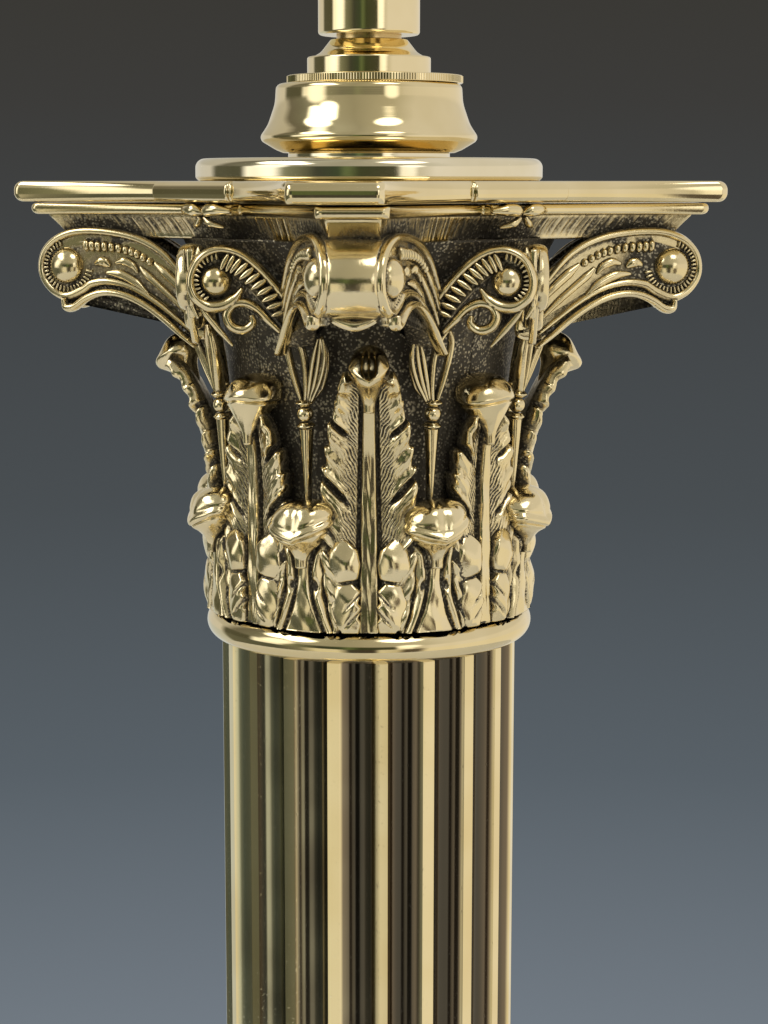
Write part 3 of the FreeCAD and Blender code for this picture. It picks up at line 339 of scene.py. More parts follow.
def rounded(corners, default=0.2):
    """A closed outline through corners (x, y) or (x, y, radius) in millimetres, each corner an arc. Two
    points close to each arc hold the flats beside it flat."""
    points = []
    count = len(corners)
    for i, corner in enumerate(corners):
        here = np.array(corner[:2], float)
        radius = corner[2] if len(corner) > 2 else default
        back = np.array(corners[i - 1][:2], float) - here
        on = np.array(corners[(i + 1) % count][:2], float) - here
        back_length, on_length = np.linalg.norm(back), np.linalg.norm(on)
        back, on = back / back_length, on / on_length
        turn = math.pi - math.acos(max(-1.0, min(1.0, float(back @ on))))
        if radius <= 0 or turn < 0.01:
            points.append(here)
            continue
        reach = radius * math.tan(turn / 2)
        limit = 0.495 * min(back_length, on_length)
        if reach > limit:
            reach, radius = limit, limit / math.tan(turn / 2)
        middle = (back + on) / np.linalg.norm(back + on)
        centre = here + middle * math.hypot(reach, radius)
        first, last = here + back * reach, here + on * reach
        start = math.atan2(*(first - centre)[::-1])
        sweep = math.atan2(*(last - centre)[::-1]) - start
        sweep = (sweep + math.pi) % (2 * math.pi) - math.pi
        steps = max(3, int(math.ceil(abs(turn) / math.radians(11))))
        hold = min(0.12, 0.2 * reach + 0.02)
        if back_length - reach > 3 * hold:
            points.append(first + back * hold)
        for step in range(steps + 1):
            angle = start + sweep * step / steps
            points.append(centre + radius * np.array([math.cos(angle), math.sin(angle)]))
        if on_length - reach > 3 * hold:
            points.append(last + on * hold)
    return np.array(points)


def mesh_object(name, points, faces, material, body="lamp"):
    """A smooth mesh in its place, with its material and slot, riding on a body if one is named. Points are
    in metres."""
    mesh = bpy.data.meshes.new(name)
    mesh.from_pydata([tuple(p) for p in points], [], faces)
    work = bmesh.new()
    work.from_mesh(mesh)
    bmesh.ops.remove_doubles(work, verts=work.verts, dist=0.002 * MM)
    bmesh.ops.dissolve_degenerate(work, edges=work.edges, dist=0.001 * MM)
    bmesh.ops.recalc_face_normals(work, faces=work.faces)
    work.to_mesh(mesh)
    work.free()
    mesh.shade_smooth()
    mesh.materials.append(material)
    piece = bpy.data.objects.new(name, mesh)
    bpy.context.collection.objects.link(piece)
    if body:
        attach(piece, body)
    return piece


def skin(rings, around=False):
    """Points and faces of a skin over equal closed rings (rings, points, 3). Around joins the last ring to
    the first, and otherwise both ends are capped."""
    rings = np.asarray(rings, float)
    count, size = rings.shape[:2]
    faces = []
    for i in range(count if around else count - 1):
        low, high = i * size, ((i + 1) % count) * size
        for j in range(size):
            k = (j + 1) % size
            faces.append((low + j, low + k, high + k, high + j))
    if not around:
        faces.append(tuple(range(size))[::-1])
        faces.append(tuple(range((count - 1) * size, count * size)))
    return rings.reshape(-1, 3) * MM, faces


def turned_rings(outline, sides=192):
    """Rings round the lamp's axis, one for each point (radius, height) of an outline."""
    angles = np.linspace(0, 2 * math.pi, sides, endpoint=False)
    circle = np.stack([np.cos(angles), np.sin(angles), np.zeros(sides)], 1)
    return np.array([circle * r + (0, 0, z) for r, z in outline])


def turned_piece(name, corners, material, node):
    """A piece turned on a lathe, which takes the place of its CAD node."""
    points, faces = skin(turned_rings(rounded(corners)), around=True)
    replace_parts(mesh_object(name, points, faces, material), node)


def brass(name, tone=(0.86, 0.735, 0.46), rough=0.07, wave=0.010, turning=0.0, grain=0.0, stipple=0.0):
    """Polished and lacquered brass. The attribute patina, 0 to 1, says where dark finish is left in it.
    Wave is the depth in mm of the polishing's unevenness, turning that of fine rings round the axis, and
    stipple that of the cast skin under the dark finish."""
    material, tree = new_material(name)
    place = tree.node("ShaderNodeTexCoord", output="Object")
    cloud = tree.noise(place, 70.0, 3.0)
    speck = tree.noise(place, 1500.0, 4.0, 0.7)
    smear = tree.noise(place, 320.0, 5.0, 0.6)
    sand = tree.noise(place, 2600.0, 2.0, 0.6)
    left_over = tree.node("ShaderNodeAttribute", {"attribute_name": "patina"}, output="Fac")
    stain = left_over + (smear - 0.5) * 0.45 + (speck - 0.5) * 0.45
    dark = tree.smooth(stain, 0.26, 0.62)
    warm = tree.smooth(stain, 0.10, 0.45)
    pale = tuple(min(1.0, c * 1.04 + 0.01) for c in tone)
    deep = (tone[0] * 0.95, tone[1] * 0.93, tone[2] * 0.86)
    clean = tree.mixed(tree.smooth(cloud, 0.30, 0.70), deep, pale)
    honey = tree.mixed(warm * 0.62, clean, (0.40, 0.31, 0.16))
    punched = tree.node("ShaderNodeTexVoronoi", inputs={"Vector": place, "Scale": 2100.0})
    rubbed = tree.smooth(0.60 - punched + (smear - 0.5) * 1.3 + (sand - 0.5) * 0.8, 0.12, 0.48)
    finish = tree.mixed(rubbed * 0.75, (0.028, 0.024, 0.019), (0.58, 0.52, 0.38))
    colour = tree.mixed(dark * 0.95, honey, finish)
    roughness = rough + tree.smooth(smear, 0.45, 0.75) * 0.04 + warm * 0.10 + dark * (0.24 - rubbed * 0.12)
    metallic = 1.0 - dark * (1.0 - rubbed) * 0.5
    height = cloud * wave + speck * grain + (sand * 0.5 - punched) * dark * stipple
    if turning:
        spread = tree.node("ShaderNodeMapping", inputs={"Vector": place, "Scale": (0.02, 0.02, 1.0)})
        lines = tree.noise(spread, 5200.0, 3.0)
        height = height + lines * turning
    bump = tree.bump(height)
    tree.surface({"Base Color": colour, "Metallic": metallic, "Roughness": roughness, "Normal": bump})
    return material


def square_rings(outline):
    """Rings round the lamp's axis as squares with softened corners, one for each point of an outline."""
    corner_radius = 0.5
    rings = []
    for half, z in outline:
        soft = min(corner_radius, half * 0.4)
        loop = rounded([(half, -half, soft), (half, half, soft), (-half, half, soft), (-half, -half, soft)])
        rings.append([(x, y, z) for x, y in loop])
    return np.array(rings)


cast_brass = brass("polished_cast_brass", wave=0.030, grain=0.004)
plinth_low, plinth_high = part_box("plinth_casting")
PLINTH_HALF, PLINTH_FOOT, PLINTH_TOP = plinth_high.x / MM, plinth_low.z / MM, plinth_high.z / MM
DIE_HALF = 46.0
plinth_outline = rounded([
    (PLINTH_HALF, PLINTH_FOOT, 0.5), (PLINTH_HALF, 20.0, 4.8), (PLINTH_HALF - 5.0, 20.0, 0.3),
    (PLINTH_HALF - 7.0, 20.0, 0.3), (PLINTH_HALF - 7.0, 22.0, 0.4), (DIE_HALF + 14.0, 24.6, 16.0),
    (DIE_HALF + 5.6, 31.0, 16.0), (DIE_HALF + 4.0, 38.0, 0.4), (DIE_HALF + 2.0, 38.0, 0.3),
    (DIE_HALF + 2.0, 40.0, 0.4), (DIE_HALF, 40.0, 0.5), (DIE_HALF, PLINTH_TOP - 4.0, 3.6),
    (DIE_HALF + 4.0, PLINTH_TOP - 4.0, 0.2), (DIE_HALF + 6.0, PLINTH_TOP - 4.0, 0.4),
    (DIE_HALF + 6.0, PLINTH_TOP, 0.8), (12.0, PLINTH_TOP, 0.2), (12.0, PLINTH_TOP - 5.0, 0.5),
    (41.0, PLINTH_TOP - 7.0, 1.0), (41.0, 21.0, 1.0), (58.0, 20.0, 1.0), (58.0, 14.0, 1.0),
    (69.0, 13.0, 1.0), (69.0, PLINTH_FOOT, 0.5)], 0.3)
plinth_points, plinth_faces = skin(square_rings(plinth_outline), around=True)
plinth = mesh_object("square_plinth", plinth_points, plinth_faces, cast_brass)
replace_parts(plinth, "plinth_casting")


# --- Inlet bush: a flanged brass bush pressed into the back of the plinth. CAD's own shape stays.

turned_brass = brass("turned_brass", wave=0.004, turning=0.0016)
finish_cad_node("cable_inlet_bush", turned_brass)


# --- Base ring: a turned brass base of two rolls with a hollow between them, on the plinth's top.

foot, ring_top = PLINTH_TOP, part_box("base_ring")[1].z / MM - 6.0
turned_piece("turned_base", [
    (24.0, foot, 0.3), (32.2, foot, 4.0), (36.2, foot + 4.1, 4.1), (32.2, foot + 8.2, 4.0),
    (31.0, foot + 8.2, 0.2), (31.0, foot + 9.8, 0.3), (30.0, foot + 9.8, 0.2), (26.4, foot + 12.2, 3.6),
    (28.4, foot + 14.6, 0.3), (29.6, foot + 14.6, 0.3), (29.6, foot + 15.8, 0.3),
    (28.6, foot + 15.8, 0.3), (31.2, foot + 18.3, 2.6), (28.4, foot + 20.8, 0.4),
    (26.0, foot + 20.8, 0.3), (25.2, ring_top, 0.3), (19.0, ring_top, 0.2), (18.9, ring_top + 6.0, 0.3),
    (16.0, ring_top + 6.0, 0.3), (16.0, foot + 10.0, 0.5)], turned_brass, "base_ring")


# --- Fluted shaft: a drawn brass tube with twenty flutes between narrow flats. The dark finish is left in
# the flutes, and only the flats are polished bright. On the camera's left side the flutes are painted
# lighter and less black, a painted sheen of the light that falls there. The section follows one rule, so
# nodes make it.


def node_group(name, inputs):
    """An empty geometry tree with a mesh input, a material input and named numbers."""
    group = bpy.data.node_groups.new(name, "GeometryNodeTree")
    face = group.interface
    face.new_socket("Geometry", in_out="INPUT", socket_type="NodeSocketGeometry")
    face.new_socket("Geometry", in_out="OUTPUT", socket_type="NodeSocketGeometry")
    face.new_socket("Finish", in_out="INPUT", socket_type="NodeSocketMaterial")
    for label, kind in inputs.items():
        face.new_socket(label, in_out="INPUT", socket_type=f"NodeSocket{kind}")
    return group


def nodes_to_mesh(name, group, values, start_mesh, material, body):
    """Runs a geometry tree on a mesh and keeps what it makes as a plain mesh on a body."""
    holder = bpy.data.objects.new(f"{name}_holder", start_mesh)
    bpy.context.collection.objects.link(holder)
    modifier = holder.modifiers.new("nodes", "NODES")
    modifier.node_group = group
    for item in group.interface.items_tree:
        if item.in_out == "INPUT" and item.name in {"Finish", *values}:
            modifier[item.identifier] = material if item.name == "Finish" else values[item.name]
    holder.update_tag()
    graph = bpy.context.evaluated_depsgraph_get()
    graph.update()
    mesh = bpy.data.meshes.new_from_object(holder.evaluated_get(graph), depsgraph=graph)
    holder.modifiers.clear()
    bpy.data.objects.remove(holder)
    piece = bpy.data.objects.new(name, mesh)
    bpy.context.collection.objects.link(piece)
    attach(piece, body)
    return piece


FLUTE_STEPS = 32
"""Mesh points for each flute and flat."""
SECTION_POINTS = 7
"""Mesh points of the wall's section: the bore's foot, two for each bevel, the bore's top, the foot again."""
flutes = node_group("fluted_tube", {
    "Radius": "Float", "Bore": "Float", "Flute Radius": "Float", "Flute Centre": "Float",
    "Flutes": "Int", "Turn": "Float", "Bottom": "Float", "Top": "Float"})
tube = Tree(flutes)
given = {item.name: i for i, item in enumerate(
    [item for item in flutes.interface.items_tree if item.in_out == "INPUT"])}


def tube_input(label):
    return tube.node("NodeGroupInput", output=given[label])


around_count = tube_input("Flutes") * FLUTE_STEPS
grid_inputs = {"Size X": 1.0, "Size Y": 1.0, "Vertices X": around_count + 1, "Vertices Y": SECTION_POINTS}
grid = tube.node("GeometryNodeMeshGrid", inputs=grid_inputs)
number = tube.node("GeometryNodeInputIndex")
column = number.maths("FLOOR", number / SECTION_POINTS + 0.001)
row = number - column * SECTION_POINTS
angle = column / around_count * (2 * math.pi)
pitch = 2 * math.pi / tube_input("Flutes")
off = angle.maths("PINGPONG", angle, pitch * 0.5)
angle = angle + tube_input("Turn")
cosine, sine = off.maths("COSINE", off), off.maths("SINE", off)
centre = tube_input("Flute Centre")
inside = tube_input("Flute Radius") ** 2 - (centre * sine) ** 2
dip = centre * cosine - inside.maths("SQRT", inside.maths("MAXIMUM", inside, 0.0))
in_flute = tube.node("ShaderNodeMath", {"operation": "GREATER_THAN"}, {0: inside, 1: 0.0})
flat_radius = tube_input("Radius") * 2 * (1 - in_flute)
fluted = in_flute.maths("MINIMUM", dip * in_flute + flat_radius, tube_input("Radius"))


def rows_near(middle, reach):
    """1 on the section's rows that lie no further than reach from a middle, 0 on the others."""
    return tube.node("ShaderNodeMath", {"operation": "COMPARE"}, {0: row, 1: middle, 2: reach})


outer = rows_near(2.5, 1.6)
upper = rows_near(4.0, 1.1)
full_width = rows_near(2.5, 1.1)
BEVEL = 0.1 * MM
end_bevel = (1 - full_width) * BEVEL
radius = tube_input("Bore") + (fluted - end_bevel - tube_input("Bore")) * outer
height = tube_input("Bottom") + (tube_input("Top") - tube_input("Bottom")) * upper
bevel_rise = outer * full_width * BEVEL
height = height + bevel_rise * (1 - upper * 2)
position_inputs = {0: radius * angle.maths("COSINE", angle), 1: radius * angle.maths("SINE", angle),
                   2: height}
position = tube.node("ShaderNodeCombineXYZ", inputs=position_inputs)
shaped = tube.node("GeometryNodeSetPosition", inputs={"Geometry": grid, "Position": position})
depth = (tube_input("Radius") - fluted) / (1.5 * MM) * outer
tinted = tube.node("GeometryNodeStoreNamedAttribute", {"data_type": "FLOAT", "domain": "POINT"},
                   {"Geometry": shaped, "Name": "flute_depth", "Value": depth})
joined = tube.node("GeometryNodeMergeByDistance", inputs={"Geometry": tinted, "Distance": 0.004 * MM})
real = tube.node("GeometryNodeRealizeInstances", inputs={"Geometry": joined})
done = tube.node("GeometryNodeSetMaterial", inputs={"Geometry": real, "Material": tube_input("Finish")})
tube.node("NodeGroupOutput", inputs={0: done})

flute_finish, tree = new_material("toned_flutes")
place = tree.node("ShaderNodeTexCoord", output="Object")
drawn = tree.node("ShaderNodeMapping", inputs={"Vector": place, "Scale": (1.0, 1.0, 0.02)})
streak = tree.noise(drawn, 420.0, 3.0)
cloud = tree.noise(place, 60.0, 2.0)
speck = tree.noise(place, 1800.0, 3.0)
depth = tree.node("ShaderNodeAttribute", {"attribute_name": "flute_depth"}, output="Fac")
toned = tree.smooth(depth * (0.7 + streak * 0.6), 0.03, 0.40)
# Painted sheen: the flutes on one side, the camera's left, are painted lighter and less black, standing in
# for the light that falls on that side.
sheen_side = math.radians(-132.5)
to_sheen_side = tree.dot(place, (math.cos(sheen_side), math.sin(sheen_side), 0))
wear_and_sheen = tree.smooth(to_sheen_side + (cloud - 0.5) * 0.02, 0.000, 0.022)
black = tree.smooth(depth + (streak - 0.5) * 0.5, 0.30, 1.1) * (1 - wear_and_sheen * 0.75)
bright = tree.mixed(tree.smooth(cloud, 0.35, 0.65), (0.83, 0.69, 0.40), (0.90, 0.78, 0.50))
shaded = tree.mixed(wear_and_sheen, (0.21, 0.165, 0.115), (0.62, 0.60, 0.42))
olive = tree.mixed(black, shaded, (0.075, 0.068, 0.055))
colour = tree.mixed(toned, bright, olive)
roughness = 0.07 + toned * 0.05 + tree.smooth(speck, 0.6, 0.8) * 0.12
bump_height = streak * 0.004 + tree.smooth(speck, 0.62, 0.75) * 0.004
bump = tree.bump(bump_height)
tree.surface({"Base Color": colour, "Metallic": 1.0, "Roughness": roughness, "Normal": bump})

shaft_low, shaft_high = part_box("fluted_shaft")
shaft_values = {
    "Radius": 23.4 * MM, "Bore": 19.0 * MM, "Flute Radius": 3.35 * MM, "Flute Centre": 25.25 * MM,
    "Flutes": 20, "Turn": math.radians(7.2), "Bottom": shaft_low.z, "Top": shaft_high.z}
nothing = bpy.data.meshes.new("empty")
shaft = nodes_to_mesh("shaft_tube", flutes, shaft_values, nothing, flute_finish, "lamp")
shaft.data.shade_smooth()
shaft.data.set_sharp_from_angle(angle=math.radians(28))
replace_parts(shaft, "fluted_shaft")


# --- Bead collar: a turned brass ring with a half-round bead, between the tube and the capital.

collar_foot, capital_foot = shaft_high.z / MM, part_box("capital_casting")[0].z / MM
bead_middle, bead_radius = (collar_foot + capital_foot) / 2, (capital_foot - collar_foot) / 2 - 0.02
bead_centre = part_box("bead_collar")[1].x / MM - bead_radius
half_round = [(bead_centre + bead_radius * math.cos(a), bead_middle + bead_radius * math.sin(a), 0)
              for a in np.linspace(-math.pi / 2, math.pi / 2, 25)]
turned_piece("half_round_bead", [(18.9, collar_foot - 5.0, 0.3), (18.9, collar_foot, 0.1), *half_round,
             (15.5, capital_foot, 0.3), (15.5, collar_foot - 5.0, 0.3)], turned_brass, "bead_collar")


# --- Capital: one brass casting, made in a sand mould from a carved pattern. Dark finish is left in all its
# hollows and the high places are polished bright. First its bell, the plain flared body behind the leaves.


def smooth_line(points, count):
    """A smooth line of count points through a few given ones."""
    points = np.asarray(points, float)
    knots = np.concatenate([[2 * points[0] - points[1]], points, [2 * points[-1] - points[-2]]])
    places = np.linspace(0, len(points) - 1, count)
    i = np.minimum(places.astype(int), len(points) - 2)
    t = (places - i)[:, None]
    a, b, c, d = knots[i], knots[i + 1], knots[i + 2], knots[i + 3]
    return 0.5 * (2 * b + (c - a) * t + (2 * a - 5 * b + 4 * c - d) * t**2 + (3 * b - a - 3 * c + d) * t**3)


class Ornament:
    """Part of the casting, drawn in millimetres with its front towards +X, and where it is repeated."""

    def __init__(self, name, count, first):
        self.name, self.count, self.first = name, count, first
        self.points, self.faces, self.hollows = [], [], []
        self.size = 0

    def add(self, rings, hollows=None, around=False, move=None):
        """Adds a skin over rings. Hollows say how deep each point lies in a groove, and move places it."""
        points, faces = skin(rings, around)
        points = points / MM
        if move is not None:
            points = points @ np.array(move.to_3x3()).T + np.array(move.translation)
        self.points.append(points)
        self.faces += [tuple(i + self.size for i in face) for face in faces]
        self.hollows.append(np.zeros(len(points)) if hollows is None else np.ravel(hollows))
        self.size += len(points)


LEAF_TURN = 2.5
BELL = [(22.9, 0.0), (21.6, 9.0), (21.2, 20.0), (21.6, 32.0), (22.8, 42.0), (25.2, 50.0), (29.0, 57.8)]
ORNAMENTS = []
bell = Ornament("capital_bell", 4, 0.0)
bell_line = smooth_line(BELL, 110)
quarter = np.radians(np.linspace(0, 90, 120))
# Painted shadow line: the bell's foot is a thin ring under the leaves' feet, as dark as the rest of the
# bell, put there to stand for the fine line of shade between the leaves and the bead.
bell_foot = [(24.9, 0.0), (25.1, 0.15), (25.0, 0.35), (24.0, 0.5)]
bell_bore = [(15, 57.8), (15, 0.0)]
bell_rings = [[(r * math.cos(a), r * math.sin(a), capital_foot + up) for a in quarter]
              for r, up in bell_foot + [tuple(p) for p in bell_line[2:]] + bell_bore]
bell.add(bell_rings, np.ones((len(bell_rings), len(quarter))), around=True)
ORNAMENTS.append(bell)


# Corner leaves: four tall acanthus leaves under the corners. Each has a flat midrib between deep grooves,
# fine veins, and lobes with polished faces, toothed edges and an eye between each two. The tip curls over.


def bent(foot_radius, bends, along):
    """Radius, height and outward tilt of a leaf's spine at distances from its foot. Each bend is a length
    and the tilt in degrees where it ends."""
    total = sum(length for length, _ in bends)
    marks = np.concatenate([[0.0], np.cumsum([length for length, _ in bends])])
    fine = np.linspace(0, total, 600)
    tilt = np.radians(np.interp(fine, marks, [0.0] + [end for _, end in bends]))
    step = total / 599
    radius = foot_radius + np.concatenate([[0.0], np.cumsum(np.sin((tilt[1:] + tilt[:-1]) / 2) * step)])
    up = np.concatenate([[0.0], np.cumsum(np.cos((tilt[1:] + tilt[:-1]) / 2) * step)])
    along = np.clip(along, 0, total)
    return np.interp(along, fine, radius), np.interp(along, fine, up), np.interp(along, fine, tilt)


def step_up(value, low, high):
    """0 below one value, 1 above the other, smooth between."""
    t = np.clip((value - low) / (high - low), 0, 1)
    return t * t * (3 - 2 * t)


def ridge(value, centre, half):
    """1 at a centre, falling to 0 on both sides like a bell."""
    return np.exp(-(((value - centre) / half) ** 2))


def softened(grid, reach):
    """A grid of heights averaged over its neighbours, along both ways."""
    for axis in (0, 1):
        padded = np.pad(grid, [(reach, reach) if a == axis else (0, 0) for a in (0, 1)], mode="edge")
        sums = np.cumsum(padded, axis=axis)
        sums = np.insert(sums, 0, 0.0, axis=axis)
        size, length = 2 * reach + 1, sums.shape[axis]
        upto, before = np.take(sums, range(size, length), axis), np.take(sums, range(length - size), axis)
        grid = (upto - before) / size
    return grid


def leaf_blade(spine, slope, edge, relief, thickness, step=0.24, columns=73):
    """Rings of a leaf that stands against the bell, and how deep each point lies in its grooves. Slope is
    how steeply veins and lobes rise from the midrib. Edge lists (level, half width), where the level is the
    height at which a vein leaves the midrib, and relief gives the height of the surface."""
    foot_radius, bends = spine
    levels = np.arange(edge[0][0], edge[-1][0], step)[:, None]
    half = np.interp(levels, [e[0] for e in edge], [e[1] for e in edge])
    share = np.linspace(-1, 1, columns)[None, :]
    across = share * half
    away = np.sqrt(across**2 + 0.36) - 0.6
    along = levels + slope * away
    height, stain = relief(np.abs(across), levels + 0 * across, along, half + 0 * across, np.sign(across))
    rim = np.clip(1 - (1 - np.abs(share)) / 0.06, 0, 1)
    front = height - 0.6 * (1 - np.sqrt(1 - rim**2))
    hollows = np.clip(softened(height, 4) - height, 0, 1) * 1.4
    hollows = hollows + 0.7 * np.clip(softened(height, 7) - height, -0.3, 1)
    hollows = hollows + stain * 0.8
    back_share = np.array([0.98, 0.55, 0.0, -0.55, -0.98])[None, :]
    back_across = back_share * half
    back_along = levels + slope * (np.sqrt(back_across**2 + 0.36) - 0.6)
    whole = sum(length for length, _ in bends)
    back = -np.interp(back_along, [0, whole], thickness) * np.array([0.75, 1, 1, 1, 0.75])
    x = np.concatenate([across, back_across], 1)
    s = np.concatenate([along, back_along], 1)
    depth = np.concatenate([front, back], 1)
    radius, up, tilt = bent(foot_radius, bends, s)
    turn = x / radius
    out = radius + depth * np.cos(tilt)
    rise = capital_foot + up - depth * np.sin(tilt)
    rings = np.stack([out * np.cos(turn), out * np.sin(turn), rise], 2)
    return rings, np.concatenate([hollows, np.full(back.shape, 0.6)], 1)


def curled_tip(centre_radius, level, half_width, half_depth, profile, lean, drop, crease, rib_radius, skew):
    """Rings of a leaf's rolled tip: an underside that opens from the midrib like a funnel, a rounded lip
    that drops in the middle, and a dome over it, creased in front. The profile lists (share of full width,
    height over level)."""
    sides = 64
    line = smooth_line(profile, 64)
    angles = np.linspace(0, 2 * math.pi, sides, endpoint=False)
    off_front = np.abs((angles + math.pi) % (2 * math.pi) - math.pi)
    point = np.clip(1 - off_front / 1.25, 0, 1) ** 1.2
    rings, hollows = [], []
    for share, up in line:
        hollows.append(np.full(sides, 0.25 - 0.9 * step_up(up, -3.5, -0.8)))
        creased = step_up(share, 0.25, 0.6) * step_up(up, 0.2, 1.0)
        fold = crease[0] * ridge(off_front, 0.0, crease[1]) * creased
        centre = centre_radius - lean * max(up, 0.0) + (rib_radius - centre_radius) * step_up(-up, 1.0, 5.5)
        uneven = np.sin(3 * angles + 0.8 * up) + np.sin(5 * angles - 1.1 * up + 1)
        bumps = 0.018 * half_width * uneven * share
        out = centre + (half_depth * share - fold) * np.cos(angles) + bumps * np.cos(angles)
        side = (half_width * share + bumps) * np.sin(angles)
        sink = drop * point * share * step_up(2.6 - up, 0.0, 2.4) * step_up(up, -4.5, -0.6)
        rise = skew * np.sin(angles) * share * step_up(up, -4.0, -1.0)
        rings.append(np.stack([out, side, level + up - sink + rise], 1))
    return rings, hollows


CORNER_SPINE = (24.6, [(19.5, 0), (16.5, 27), (4.5, 62)])
CORNER_EYES = (6.2, 16.3, 26.6)
CORNER_EDGE = [
    (-9.0, 3.0), (-6.0, 5.2), (0.0, 6.6), (4.6, 7.3), (5.9, 6.9), (6.3, 5.8), (6.9, 6.9), (10.5, 7.4),
    (11.2, 6.9), (14.6, 7.2), (15.9, 6.8), (16.3, 5.6), (16.9, 6.7), (17.8, 6.9), (18.6, 6.25),
    (21.3, 6.5), (22.1, 5.9), (25.3, 6.05), (26.2, 5.7), (26.6, 4.5), (27.2, 5.2), (30.4, 5.0),
    (31.0, 4.7), (33.8, 4.5), (36.0, 4.0), (38.0, 3.2), (39.2, 2.6)]


def leaf_relief(
        x, level, along, half, side, rib_half, rib_height, groove, eyes, blade_height, vein_pitch, eye_from):
    """The height of a tall leaf's surface, and how much dark finish lies in it: a midrib, a groove on each
    side of it, a veined field, and lobes with raised rims between the eyes."""
    rib = step_up(rib_half + 0.10 - x, -0.02, 0.24) * rib_height
    furrow = ridge(x, rib_half + 0.34, groove)
    lobe, holes, rims = np.ones_like(x), np.zeros_like(x), np.zeros_like(x)
    for eye in eyes:
        lobe *= 1 - 0.42 * ridge(level, eye, 1.2)
        tapered = 0.30 + 0.25 * step_up(x, eye_from, eye_from + 1.2)
        holes += ridge(level, eye + 0.15, tapered) * step_up(x, eye_from - 0.4, eye_from + 0.3)
        beside = ridge(level, eye - 1.05, 0.34) + ridge(level, eye + 1.3, 0.34)
        rims += beside * step_up(x, eye_from - 0.6, eye_from + 0.4)
    blade = blade_height * step_up(x, rib_half + 0.5, rib_half + 3.4) * lobe
    wander = 0.35 * np.sin(along * 0.9 + side * 1.3) + 0.2 * np.sin(along * 2.1 + x)
    wave = np.sin(2 * math.pi * (along - 1.9 * x + wander) / vein_pitch)
    field = step_up(x, rib_half + 0.5, rib_half + 1.1) * (1 - 0.85 * step_up(x / half, 0.48, 0.74))
    flutes = 0.20 * np.sin(2 * math.pi * (level + 0.4) / 3.4) * step_up(x / half, 0.5, 0.8)
    border = 0.20 * ridge(x / half, 0.88, 0.08)
    dents = 0.05 * np.sin(1.1 * along + 0.9 * x * side + 0.5)
    dents = dents + 0.05 * np.sin(0.6 * along - 1.6 * x + 2 * side)
    height = rib - 0.85 * furrow + blade - 1.25 * holes + 0.26 * rims + 0.15 * wave * field
    height = height + flutes + border + dents
    stain = 0.9 * furrow + 0.9 * holes - 0.25 * rims + field * (0.50 - 0.45 * wave) * lobe
    return height, stain


def corner_relief(x, level, along, half, side):
    """The surface of a corner leaf."""
    rib_half = 1.42 - 0.68 * np.clip(along / 40, 0, 1)
    return leaf_relief(x, level, along, half, side, rib_half, 0.62, 0.18, CORNER_EYES, 0.95, 0.92, 3.2)


corner_leaves = Ornament("corner_leaves", 4, 45.0 + LEAF_TURN)
corner_leaves.add(*leaf_blade(CORNER_SPINE, 1.15, CORNER_EDGE, corner_relief, (2.8, 1.3)))
corner_leaves.add(*curled_tip(29.9, capital_foot + 39.9, 2.95, 3.5, [
    (0.26, -6.8), (0.34, -5.4), (0.50, -3.9), (0.70, -2.4), (0.88, -1.1), (0.98, -0.35), (1.0, 0.05),
    (0.97, 0.5), (0.90, 1.1), (0.76, 1.9), (0.52, 2.6), (0.26, 3.0), (0.02, 3.1)], 0.35, 1.9,
    (0.55, 0.28), 27.8, 0.12))
ORNAMENTS.append(corner_leaves)


# Side leaves: four like them under the middles of the sides, shorter, with a tip like a bud.

SIDE_SPINE = (24.2, [(21.0, 0), (12.5, 14), (1.0, 20)])
SIDE_EYES = (5.0, 14.0, 22.6)
SIDE_EDGE = [
    (-8.6, 3.0), (-6.0, 4.8), (0.0, 6.2), (3.8, 6.9), (4.7, 6.5), (5.1, 5.4), (5.7, 6.4), (8.8, 6.9),
    (9.6, 6.4), (12.4, 6.7), (13.5, 6.2), (14.0, 5.2), (14.6, 6.1), (17.4, 6.3), (18.1, 5.7), (21.0, 5.9),
    (22.2, 5.2), (22.6, 4.2), (23.2, 4.7), (26.0, 4.3), (28.5, 3.4), (31.0, 2.4), (32.6, 1.4)]


def side_relief(x, level, along, half, side):
    """The surface of a side leaf."""
    rib_half = 1.25 - 0.60 * np.clip(along / 32, 0, 1)
    return leaf_relief(x, level, along, half, side, rib_half, 0.80, 0.24, SIDE_EYES, 1.05, 1.0, 2.8)


side_leaves = Ornament("side_leaves", 4, LEAF_TURN)
side_leaves.add(*leaf_blade(SIDE_SPINE, 1.05, SIDE_EDGE, side_relief, (2.8, 1.8)))
side_leaves.add(*curled_tip(24.6, capital_foot + 34.1, 4.5, 4.1, [
    (0.16, -6.8), (0.20, -5.2), (0.36, -3.9), (0.62, -2.5), (0.84, -1.3), (0.91, -0.85), (0.86, -0.65),
    (0.93, -0.45), (1.01, -0.1), (1.02, 0.45), (0.97, 1.5), (0.84, 2.55), (0.61, 3.3), (0.30, 3.75),
    (0.02, 3.85)], 0.30, -0.6, (0.0, 0.2), 25.6, 0.3))
ORNAMENTS.append(side_leaves)


# Lower leaves: eight short ones in a row round the foot, with round hoods, waisted midribs and rounded
# lobes that turn down at their toothed edges.

LOWER_SPINE = (25.2, [(14.2, 0), (2.0, 20)])
LOWER_EDGE = [
    (-0.2, 8.5), (1.6, 8.9), (2.3, 8.3), (3.8, 9.0), (4.5, 8.3), (6.2, 8.8), (7.4, 7.6), (8.2, 8.4),
    (10.4, 8.8), (12.4, 8.3), (13.6, 7.0), (14.8, 5.4), (15.6, 3.6), (16.0, 2.2)]


